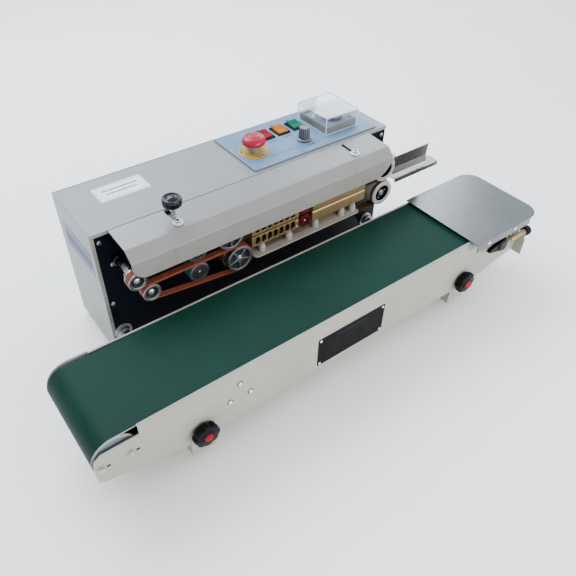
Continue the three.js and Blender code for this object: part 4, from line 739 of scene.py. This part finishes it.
# ---------- emergency stop ----------
stop_mid, _, stop_high = middle("estop_head")
turned("estop_ring", "cabinet", YELLOW, (stop_mid[0], stop_mid[1], PANEL_Z), 2, [
    (13.2, 0), (26, 0), (26, 0.7), (25.5, 0.95), (13.2, 0.95),
], None, 96, False)
bm = bmesh.new()
for start in (10, 130, 250):
    inner = arc(stop_mid[0], stop_mid[1], 20.4, start, start + 34, 8)
    outer = arc(stop_mid[0], stop_mid[1], 21.6, start, start + 34, 8)[::-1]
    add_prism(bm, inner + outer, 2, PANEL_Z + 0.9, PANEL_Z + 1.05)
    head = [polar(stop_mid, r, start + turn) for r, turn in ((21, 44), (18.9, 33), (23.1, 33))]
    add_prism(bm, head, 2, PANEL_Z + 0.9, PANEL_Z + 1.05)
piece("estop_arrows", bm, INK_DARK, "cabinet")
COLLAR_FOOT, COLLAR_TOP = 222, 260.3
turned("estop_collar_turned", "cabinet", SATIN, (stop_mid[0], stop_mid[1], 0), 2, [
    (7, COLLAR_FOOT), (11, COLLAR_FOOT), (11, PANEL_Z + 0.3), (13, PANEL_Z + 0.3), (12.9, PANEL_Z + 2.2),
    (12.1, PANEL_Z + 2.8), (12.1, PANEL_Z + 6.4), (11.8, PANEL_Z + 6.7), (12.1, PANEL_Z + 7),
    (12.1, COLLAR_TOP - 0.7), (11.5, COLLAR_TOP), (7, COLLAR_TOP),
], "rod_chrome", 80, False, stands_for=["estop_collar"])
top = stop_high[2]
turned("estop_head_turned", "estop_head", MAT["stop_red"], (stop_mid[0], stop_mid[1], 0), 2, [
    (0, top - 10.6), (13, top - 10.6), (13.4, top - 14.3), (17.6, top - 14.3), (19.4, top - 12.8),
    (20, top - 10.8), (20, top - 9), (19.5, top - 6.6), (17.9, top - 4.1), (15.2, top - 2.2),
    (12.4, top - 1.2), (11.2, top - 1.15), (10.9, top - 1.55), (10.4, top - 1.5), (10.1, top - 0.8),
    (8.8, top - 0.25), (5.5, top - 0.05), (0, top),
], "stop_red", 96, stands_for=["estop_head"], sharp=40)

# ---------- speed knob ----------
knob_mid, knob_low, knob_high = middle("speed_knob")
at = (knob_mid[0], knob_mid[1], 0)
top, foot = knob_high[2], PANEL_Z + 0.6
turned("speed_knob_body", "speed_knob", MAT["knob_grey"], at, 2, [
    (0, knob_low[2]), (3, knob_low[2]), (3, foot), (11.6, foot), (12, foot + 0.5), (11.8, foot + 1.8),
    (10.2, foot + 3.2), (8.9, foot + 4), (8.8, foot + 4.8), (8.2, top - 2.2), (7.9, top - 1.6),
    (0, top - 1.6),
], "knob_grey", 96, stands_for=["speed_knob"], sharp=40)
# painted highlight: the ribs take the cap's lighter grey, painting lit stripes on the dark grip
RIBS = 16
bm = bmesh.new()
for i in range(RIBS):
    rows = []
    for z, r in ((foot + 4.2, 9.9), (top - 1.4, 8.9)):
        rib = spoke(at[:2], 360 / RIBS * i + 8, [(r - 2, -0.8), (r, -0.6), (r, 0.6), (r - 2, 0.8)])
        rows.append([bm.verts.new((*spot, z)) for spot in rib])
    add_skin(bm, rows, True)
piece("speed_knob_ribs", bm, KNOB_CAP_AND_RIB_LIGHT, "speed_knob", "knob_grey", bevel=0.15)
turned("speed_knob_cap", "speed_knob", KNOB_CAP_AND_RIB_LIGHT, at, 2, [
    (0, top - 1.7), (8.4, top - 1.7), (8.7, top - 1.2), (8.5, top - 0.3), (7.9, top), (6.9, top - 0.1),
    (6.3, top - 0.8), (0, top - 0.9),
], "knob_grey", 72, sharp=40)
turned("speed_knob_skirt", "speed_knob", KNOB_CAP_AND_RIB_LIGHT, at, 2, [
    (9.6, foot + 3.1), (11.2, foot + 2.3), (11.9, foot + 1.6), (12.1, foot + 1.8), (11.3, foot + 2.7),
    (9.7, foot + 3.5),
], "knob_grey", 72, False)

# ---------- temperature controller ----------
ctrl_low, ctrl_high = box_mm("controller_body")
CTRL_Z = ctrl_high[2]
dial_mid, dial_low, dial_high = middle("controller_dial")
face = inset(ctrl_low, ctrl_high, 2, 2.5)
prism("controller_face", "cabinet", FACE_GREY, face, 2, CTRL_Z - 0.02, CTRL_Z + 0.3)
bm = bmesh.new()
for start, end in ((88, 106), (112, 146)):
    inner = arc(dial_mid[0], dial_mid[1], 31, start, end, 12)
    outer = arc(dial_mid[0], dial_mid[1], 34.5, end, start, 12)
    add_prism(bm, inner + outer, 2, CTRL_Z + 0.28, CTRL_Z + 0.42)
for i in range(12):
    degrees = 40 + i * 12
    inner = arc(dial_mid[0], dial_mid[1], 21, degrees - 1, degrees + 1, 1)
    outer = arc(dial_mid[0], dial_mid[1], 24, degrees + 1, degrees - 1, 1)
    add_prism(bm, inner + outer, 2, CTRL_Z + 0.28, CTRL_Z + 0.4)
piece("dial_scale", bm, PAPER, "cabinet")
at = (dial_mid[0], dial_mid[1], 0)
turned("controller_dial_disc", "controller_dial", INK_BLUE, at, 2, [
    (0, dial_low[2]), (2.8, dial_low[2]), (2.8, CTRL_Z + 0.5), (16.4, CTRL_Z + 0.5), (17, CTRL_Z + 0.9),
    (17, CTRL_Z + 5.6), (16.2, CTRL_Z + 6.4), (12, CTRL_Z + 6.6), (0, CTRL_Z + 6.6),
], "dial_white", 80, stands_for=["controller_dial"])
turned("controller_dial_hub", "controller_dial", MAT["dial_white"], at, 2, [
    (0, CTRL_Z + 6.4), (8.6, CTRL_Z + 6.4), (lobes(8.4, 0.5, 12), CTRL_Z + 7.4),
    (lobes(7.6, 0.5, 12), CTRL_Z + 11), (6.8, dial_high[2] - 0.2), (0, dial_high[2]),
], "dial_white", 96)
pointer = spoke(at[:2], -24, [(8, -1.6), (16.6, -1.6), (16.6, 1.6), (8, 1.6)])
prism("controller_dial_pointer", "controller_dial", PAPER, pointer, 2, CTRL_Z + 6.4, CTRL_Z + 7.6,
      "dial_white", bevel=0.3)
turned("lamp_lens", "cabinet", RED_CAP, (ctrl_high[0] - 6, ctrl_low[1] + 10, CTRL_Z), 2, [
    (0, -0.2), (2.6, -0.2), (2.6, 0.8), (2.0, 1.7), (1.0, 2.1), (0, 2.2),
], None, 32)
marks("controller_window", INK_DARK, "cabinet", [(167, 158, 8, 3.6, 0.8)], 2, CTRL_Z + 0.28, 0.15)

# painted highlight: bright bluish strips inside the clear cover's walls, along its top and bottom edges and
# up its corners, for the light its edges catch
cover_low, cover_high = box_mm("clear_cover")
bm = bmesh.new()
for z, h in ((cover_high[2] - 1.4, 1.1), (cover_low[2] + 0.1, 0.8)):
    plate_ring(bm, inset(cover_low, cover_high, 0.25, 1.6), inset(cover_low, cover_high, 1.35, 1.6), z, z + h)
for x in (cover_low[0] + 0.9, cover_high[0] - 0.9):
    for y in (cover_low[1] + 0.9, cover_high[1] - 0.9):
        add_prism(bm, rounded(x - 0.55, x + 0.55, y - 0.55, y + 0.55, 0.4, 3),
                  2, cover_low[2] + 0.9, cover_high[2] - 1.4)
piece("clear_cover_edges", bm, COVER_EDGE_HIGHLIGHT, "clear_cover", "clear_plastic")

# ---------- labels and printed bars ----------
side_x = box_mm("cabinet_shell")[0][0]
LABEL_X, LABEL_Y, LABEL_HALF_X, LABEL_HALF_Y = -201, 147.2, 40, 20.8
label_low = (LABEL_X - LABEL_HALF_X, LABEL_Y - LABEL_HALF_Y)
label_high = (LABEL_X + LABEL_HALF_X, LABEL_Y + LABEL_HALF_Y)
marks("top_label", PAPER, "cabinet", [(LABEL_X, LABEL_Y, LABEL_HALF_X, LABEL_HALF_Y, 3)], 2, TOP_Z - 0.02,
      0.18)
bm = bmesh.new()
for by in (1.6, 3.0):
    plate_ring(bm, inset(label_low, label_high, by, 2.2), inset(label_low, label_high, by + 0.4, 2),
               TOP_Z + 0.14, TOP_Z + 0.22)
piece("top_label_border", bm, INK_GREY, "cabinet")
lines = [(LABEL_X, 153, 29, 1.5, 0.4), (LABEL_X, 143, 25, 1.5, 0.4)]
marks("top_label_lines", INK_GREY, "cabinet", lines, 2, TOP_Z + 0.12, 0.1)


def side_marks(name, material, boxes, depth):
    """Printed bars on the cabinet's left side."""
    marks(name, material, "cabinet", boxes, 0, side_x + 0.02, -depth)


side_marks("side_sticker", INK_PALE, [(124.5, 186, 51.5, 22, 1.5)], 0.15)
side_marks("side_sticker_band", INK_BLUE, [(124.5, 184, 47, 8, 1)], 0.22)
slanted = [(84, 198), (150, 198), (158, 203), (92, 203)]
prism("side_sticker_shape", "cabinet", INK_GREY, slanted, 0, side_x + 0.02, side_x - 0.28)

# ---------- black panel: screws and rod collars ----------
PANEL_SCREWS = [(-276.7, 228.4), (-264.6, 184), (-277.3, 112.6), (-249.5, 157), (262, 229.8)]
ROD_R = 8
spots = [(x, PANEL_Y - 0.02, z) for x, z in PANEL_SCREWS]
screws("panel_screws", "cabinet", spots, 1, -1, 3.6, 2.2)
rod_low, rod_high = box_mm("slide_rods")
bm = bmesh.new()
for x in (rod_low[0] + ROD_R, rod_high[0] - ROD_R):
    add_turned(bm, (x, PANEL_Y, rod_low[2] + ROD_R), 1, [
        (8.3, -0.1), (14, -0.1), (14.4, -0.6), (14.4, -2.4), (14, -2.9), (11, -3.1), (10.6, -9.4),
        (10, -10), (8.3, -10),
    ], 64, False)
piece("rod_collars", bm, MAT["turned_steel"], "cabinet", "turned_steel", sharp=28)

# ---------- conveyor: nameplate, rivets, bolts ----------
PLATE_LOW, PLATE_HIGH = (-74, 56.5), (58, 113)       # corners in X and Z
PLATE_Y = RAIL_Y - 0.48
prism("nameplate", "conveyor_frame", PLATE_BLACK, inset(PLATE_LOW, PLATE_HIGH, 0, 2.5),
      1, RAIL_Y + 0.02, RAIL_Y - 0.5, "panel_black", bevel=0.15)
bm = bmesh.new()
outer, inner = inset(PLATE_LOW, PLATE_HIGH, 2.2, 1.6), inset(PLATE_LOW, PLATE_HIGH, 2.8, 1.4)
rows = [[bm.verts.new((x, y, z)) for x, z in line]
        for line, y in ((outer, PLATE_Y), (outer, PLATE_Y - 0.1), (inner, PLATE_Y - 0.1), (inner, PLATE_Y))]
add_skin(bm, rows, False)
piece("nameplate_frame", bm, FAINT, "conveyor_frame")
# a title bar, and five lines of bars in three columns, each column with its own rhythm of lengths
bars = [(-7, 103, 30, 2.2, 0.8)]
for i in range(5):
    z = 94 - i * 6.2
    columns = ((-42, 15 - i % 3 * 3), (-8, 12 - i % 2 * 4), (30, 17 - i % 4 * 3))
    bars += [(x, z, half, 0.6, 0.3) for x, half in columns]
marks("nameplate_lines", FAINT, "conveyor_frame", bars, 1, PLATE_Y, -0.1)
corners = [(x, RAIL_Y - 0.45, z) for x in (PLATE_LOW[0] + 4.6, PLATE_HIGH[0] - 4.6)
           for z in (PLATE_LOW[1] + 4.4, PLATE_HIGH[1] - 4.4)]
screws("nameplate_rivets", "conveyor_frame", corners, 1, -1, 2.2, 1.3, "rivet", PAPER)

RAIL_RIVETS = [(-209.5, 116), (-193.5, 88.6), (-226.5, 89)]
# painted shade: dark rings round the rivet heads, where they shade the rail
bm = bmesh.new()
for x, z in RAIL_RIVETS:
    add_turned(bm, (x, RAIL_Y, z), 1, [(0, 0.02), (4.4, 0.02), (4.4, -0.3), (0, -0.3)], 40)
piece("rail_rivet_shade_rings", bm, SHADE_BLACK, "conveyor_frame", "black_plastic")
spots = [(x, RAIL_Y - 0.2, z) for x, z in RAIL_RIVETS]
screws("rail_rivets", "conveyor_frame", spots, 1, -1, 3.1, 1.9, "rivet", PAPER)
RAIL_BOLTS = [(-369.1, 100.8), (-407.7, 100.6)]
# painted shade: black patches on the rail for the dark openings of the bolts' slots
bm = bmesh.new()
for x, z in RAIL_BOLTS:
    add_prism(bm, rounded(x - 2, x + 11.5, z - 1.5, z + 1.5, 0.8, 4), 1, RAIL_Y + 0.02, RAIL_Y - 0.25)
piece("bolt_slots", bm, SHADE_BLACK, "conveyor_frame", "black_plastic")
screws("rail_bolts", "conveyor_frame", [(x, RAIL_Y - 0.2, z) for x, z in RAIL_BOLTS], 1, -1, 4.8, 3.6, "hex")
head_mid = middle("head_roller")[0]
turned("axle_cap", "conveyor_frame", MAT["rail_paint"], (head_mid[0], RAIL_Y, head_mid[2]), 1, [
    (0, -0.14), (5.0, -0.14), (5.2, -0.05), (5.2, 0.05), (0, 0.05),
], "rail_paint", 56)

# light edges of the green belt
belt_low, belt_high = box_mm("conveyor_belt")
BELT_R = (belt_high[2] - belt_low[2]) / 2
BELT_Z = (belt_high[2] + belt_low[2]) / 2


def belt_path(r):
    """The belt's closed path at a distance r from the roller axes."""
    left, right = belt_low[0] + BELT_R, belt_high[0] - BELT_R
    return arc(left, BELT_Z, r, 90, 270, 32) + arc(right, BELT_Z, r, 270, 450, 32)


bm = bmesh.new()
for y, side in ((belt_low[1], -1), (belt_high[1], 1)):
    rows = [[bm.verts.new((x, y + side * d, z)) for x, z in belt_path(BELT_R - r)]
            for r, d in ((0.1, -0.4), (0.1, 0.12), (0.3, 0.3), (1.7, 0.3), (1.9, 0.12), (1.9, -0.4))]
    add_skin(bm, rows, False)
piece("belt_edges", bm, BELT_EDGE, "conveyor_frame", "conveyor_green", sharp=40)

# pale rim and grey disc on the visible end of the head roller
head_end = (head_mid[0], belt_low[1], head_mid[2])
turned("head_roller_end_rim", "head_roller", MAT["infeed_rim"], head_end, 1, [
    (26.2, 2.2), (26.2, 0.9), (26.7, 0.5), (29.0, 0.5), (29.4, 0.9), (29.4, 2.2),
], "turned_steel", 96, False)
turned("head_roller_end_disc", "head_roller", FACE_GREY, head_end, 1, [
    (8.2, 2.2), (8.2, 1.5), (24.8, 1.5), (25.2, 2.2),
], "turned_steel", 96, False)
table_low, table_high = box_mm("end_table")
LIP_SCREW_XS = (277.5, 346.5)
spots = [(x, table_low[1] - 0.02, table_high[2] - 6.3) for x in LIP_SCREW_XS]
screws("table_screws", "conveyor_frame", spots, 1, -1, 3.2, 1.8, "cross", PAPER)


# ---------- knobs of the conveyor ----------
def clamp_knob(node):
    """Lobed black grip with a red cap in its face."""
    mid, low, high = middle(node)
    at = (mid[0], low[1], mid[2])
    grip = high[2] - mid[2]
    turned(node + "_grip", node, MAT["black_plastic"], at, 1, [
        (0, 2.1), (7.2, 2.1), (7.6, 1.2), (8.6, 0.8), (9.6, 1.1), (10.4, 2.0), (lobes(grip - 4, 0.6), 2.2),
        (lobes(grip - 1.4, 1.4), 2.9), (lobes(grip - 0.2, 2.0), 4.4), (lobes(grip, 2.2), 6),
        (lobes(grip, 2.2), 12), (lobes(grip - 1, 1.6), 14.2), (lobes(grip - 3.4, 0.6), 15.4), (9.8, 15.5),
        (9.5, 17.4), (4, 17.4), (4, 35), (0, 35),
    ], "black_plastic", 144, stands_for=[node], sharp=50)
    turned(node + "_cap", node, RED_CAP, at, 1, [
        (0, 0.05), (5.6, 0.1), (6.6, 0.5), (7, 1.1), (7, 2.3), (0, 2.3),
    ], None, 56)


for side in ("left", "right"):
    clamp_knob("clamp_knob_" + side)
refine("wing_knob", 1.6, 4)

# brass screw with round ridges for its thread, a long nut and a ribbed cap
THREAD_PITCH = 1.25
mid, low, high = middle("tension_screw")
at = (0, mid[1], mid[2])
start, end = low[0], high[0]
thread = []
for i in range(int((end - 14 - start) / THREAD_PITCH)):
    x = start + i * THREAD_PITCH
    thread += [(2.6, x), (3.05, x + 0.45), (3.05, x + 0.7), (2.6, x + 1.15)]
turned("tension_screw_thread", "tension_screw", MAT["brass"], at, 0, [
    (0, start - 0.01), *thread, (2.6, end - 13.6), (0, end - 13.6),
], "brass", 40, stands_for=["tension_screw"])
turned("tension_screw_nut", "tension_screw", MAT["brass"], at, 0, [
    (0, start + 7), (hexagon(4.8), start + 7), (hexagon(5.5), start + 7.6), (hexagon(5.5), end - 16.9),
    (hexagon(5.0), end - 16.4), (0, end - 16.4),
], "brass", 60, bevel=0.2)
ribbed_cap = [(lobes(r, depth, 16, 1), end - back) for r, depth, back in (
    (8.0, 0.5, 13.6), (9.0, 0.8, 12.6), (9.0, 0.8, 2.4), (7.8, 0.4, 1.0))]
turned("tension_screw_cap", "tension_screw", MAT["black_plastic"], at, 0, [
    (0, end - 13.6), *ribbed_cap, (5.2, end - 0.6), (0, end - 0.4),
], "black_plastic", 128, sharp=45)

# ---------- back: fan guard, cover screws, inlet pins ----------
WIRE_R = 0.7
GUARD_RINGS = (8, 15, 22, 29, 36)
GUARD_REACH = 47
fan_mid = middle("cooling_fan")[0]
cover_mid, back_low, back_high = middle("rear_cover")
back = back_high[1]
wire = arc(0, 0.85, WIRE_R, 0, 315, 7)
bm = bmesh.new()
for r in GUARD_RINGS:
    add_turned(bm, (fan_mid[0], back, fan_mid[2]), 1, [(r + dr, dy) for dr, dy in wire], 72, False)
for degrees in (45, 135, 225, 315):
    bar = spoke((fan_mid[0], fan_mid[2]), degrees,
                [(6, -0.9), (GUARD_REACH, -0.9), (GUARD_REACH, 0.9), (6, 0.9)])
    add_prism(bm, bar, 1, back + 0.05, back + 0.9)
    x, z = polar((fan_mid[0], fan_mid[2]), GUARD_REACH, degrees)
    add_turned(bm, (x, back, z), 1, [(0, 0.02), (3.6, 0.02), (3.6, 0.9), (2.8, 1.5), (0, 1.5)], 32)
piece("fan_guard", bm, MAT["turned_steel"], "cabinet", "turned_steel", sharp=40)
spots = [(x, back, z) for x in (back_low[0] + 9, cover_mid[0], back_high[0] - 9)
         for z in (back_low[2] + 9, back_high[2] - 9)]
screws("cover_screws", "cabinet", spots, 1, 1, 3.4, 1.6)
inlet_mid = middle("power_inlet")[0]
bm = bmesh.new()
for dx in (-7, 0, 7):
    x, z = inlet_mid[0] + dx, inlet_mid[2]
    add_prism(bm, rounded(x - 1.2, x + 1.2, z - 2.2, z + 2.2, 0.8, 3), 1, back - 14, back - 1.2)
piece("inlet_pins", bm, MAT["brass"], "cabinet", "brass")

# ---------- camera, floor and lights ----------
CAMERA_AT = (-0.4727, -0.6102, 0.745)
CAMERA_RIGHT = (0.79639058, -0.60442804, 0.02070724)
CAMERA_DOWN = (-0.39445929, -0.54508168, -0.73978904)
CAMERA_FORWARD = (0.45843638, 0.58099286, -0.67252018)
CAMERA_LENS = 37.41
CAMERA_SENSOR = 36
cam_data = bpy.data.cameras.new("camera")
cam_data.lens = CAMERA_LENS
cam_data.sensor_width = CAMERA_SENSOR
camera = bpy.data.objects.new("camera", cam_data)
bpy.context.scene.collection.objects.link(camera)
axes = Matrix((CAMERA_RIGHT, [-v for v in CAMERA_DOWN], [-v for v in CAMERA_FORWARD])).transposed()
camera.matrix_world = Matrix.Translation(CAMERA_AT) @ axes.to_4x4()
bpy.context.scene.camera = camera

FLOOR_HALF = 6
FLOOR_Z = -0.0005    # just below the feet
floor_material = surface("studio_floor", (0.96, 0.96, 0.96), 0.75, patch=3, vary=0.01, grain=300, depth=0.01,
                         dim=1)
floor_mesh = bmesh.new()
bmesh.ops.create_grid(floor_mesh, x_segments=2, y_segments=2, size=FLOOR_HALF)
mesh = bpy.data.meshes.new("floor")
floor_mesh.to_mesh(mesh)
floor_mesh.free()
mesh.materials.append(floor_material)
floor = bpy.data.objects.new("floor", mesh)
floor.location = (0, 0, FLOOR_Z)
bpy.context.scene.collection.objects.link(floor)
floor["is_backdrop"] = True

# studio surround: warm and darker in front, bluish and brighter above the back
BACK_UP = (0.46, 0.56, 0.69)
SURROUND = (
    (0.0, (0.50, 0.475, 0.44)), (0.45, (0.70, 0.68, 0.66)), (0.75, (0.66, 0.78, 0.93)),
    (1.0, (0.78, 0.91, 1.0)),
)
SURROUND_STRENGTH = 2.2
world = bpy.data.worlds.new("studio")
world.use_nodes = True
tree = world.node_tree
direction = tree.nodes.new("ShaderNodeTexCoord").outputs["Generated"]
towards = tree.nodes.new("ShaderNodeVectorMath")
towards.operation = "DOT_PRODUCT"
towards.inputs[1].default_value = BACK_UP
tree.links.new(direction, towards.inputs[0])
ramp = tree.nodes.new("ShaderNodeValToRGB")
stops = ramp.color_ramp.elements
while len(stops) < len(SURROUND):
    stops.new(0.5)
for stop, (position, color) in zip(stops, SURROUND):
    stop.position = position
    stop.color = (*color, 1)
tree.links.new(towards.outputs["Value"], ramp.inputs["Fac"])
tree.links.new(ramp.outputs["Color"], tree.nodes["Background"].inputs["Color"])
tree.nodes["Background"].inputs["Strength"].default_value = SURROUND_STRENGTH
bpy.context.scene.world = world


def area_light(name, at, target, size, power, color):
    """Rectangular light at a point, turned towards a target."""
    data = bpy.data.lights.new(name, "AREA")
    data.energy = power
    data.shape = "RECTANGLE"
    data.size, data.size_y = size
    data.color = color
    light = bpy.data.objects.new(name, data)
    light.location = at
    light.rotation_euler = (Vector(target) - Vector(at)).to_track_quat("-Z", "Y").to_euler()
    bpy.context.scene.collection.objects.link(light)


OBJECT_MIDDLE = (0, 0, 0.1)
area_light("back_overhead", (-0.3, 1.3, 1.7), OBJECT_MIDDLE, (1.8, 1.2), 64, (0.84, 0.92, 1.0))
area_light("far_right", (1.9, 1.5, 1.5), OBJECT_MIDDLE, (0.9, 0.9), 16, (0.86, 0.94, 1.0))
area_light("front", (0.5, -2.1, 0.7), OBJECT_MIDDLE, (1.8, 0.8), 44, (1.0, 0.97, 0.92))

low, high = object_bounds()
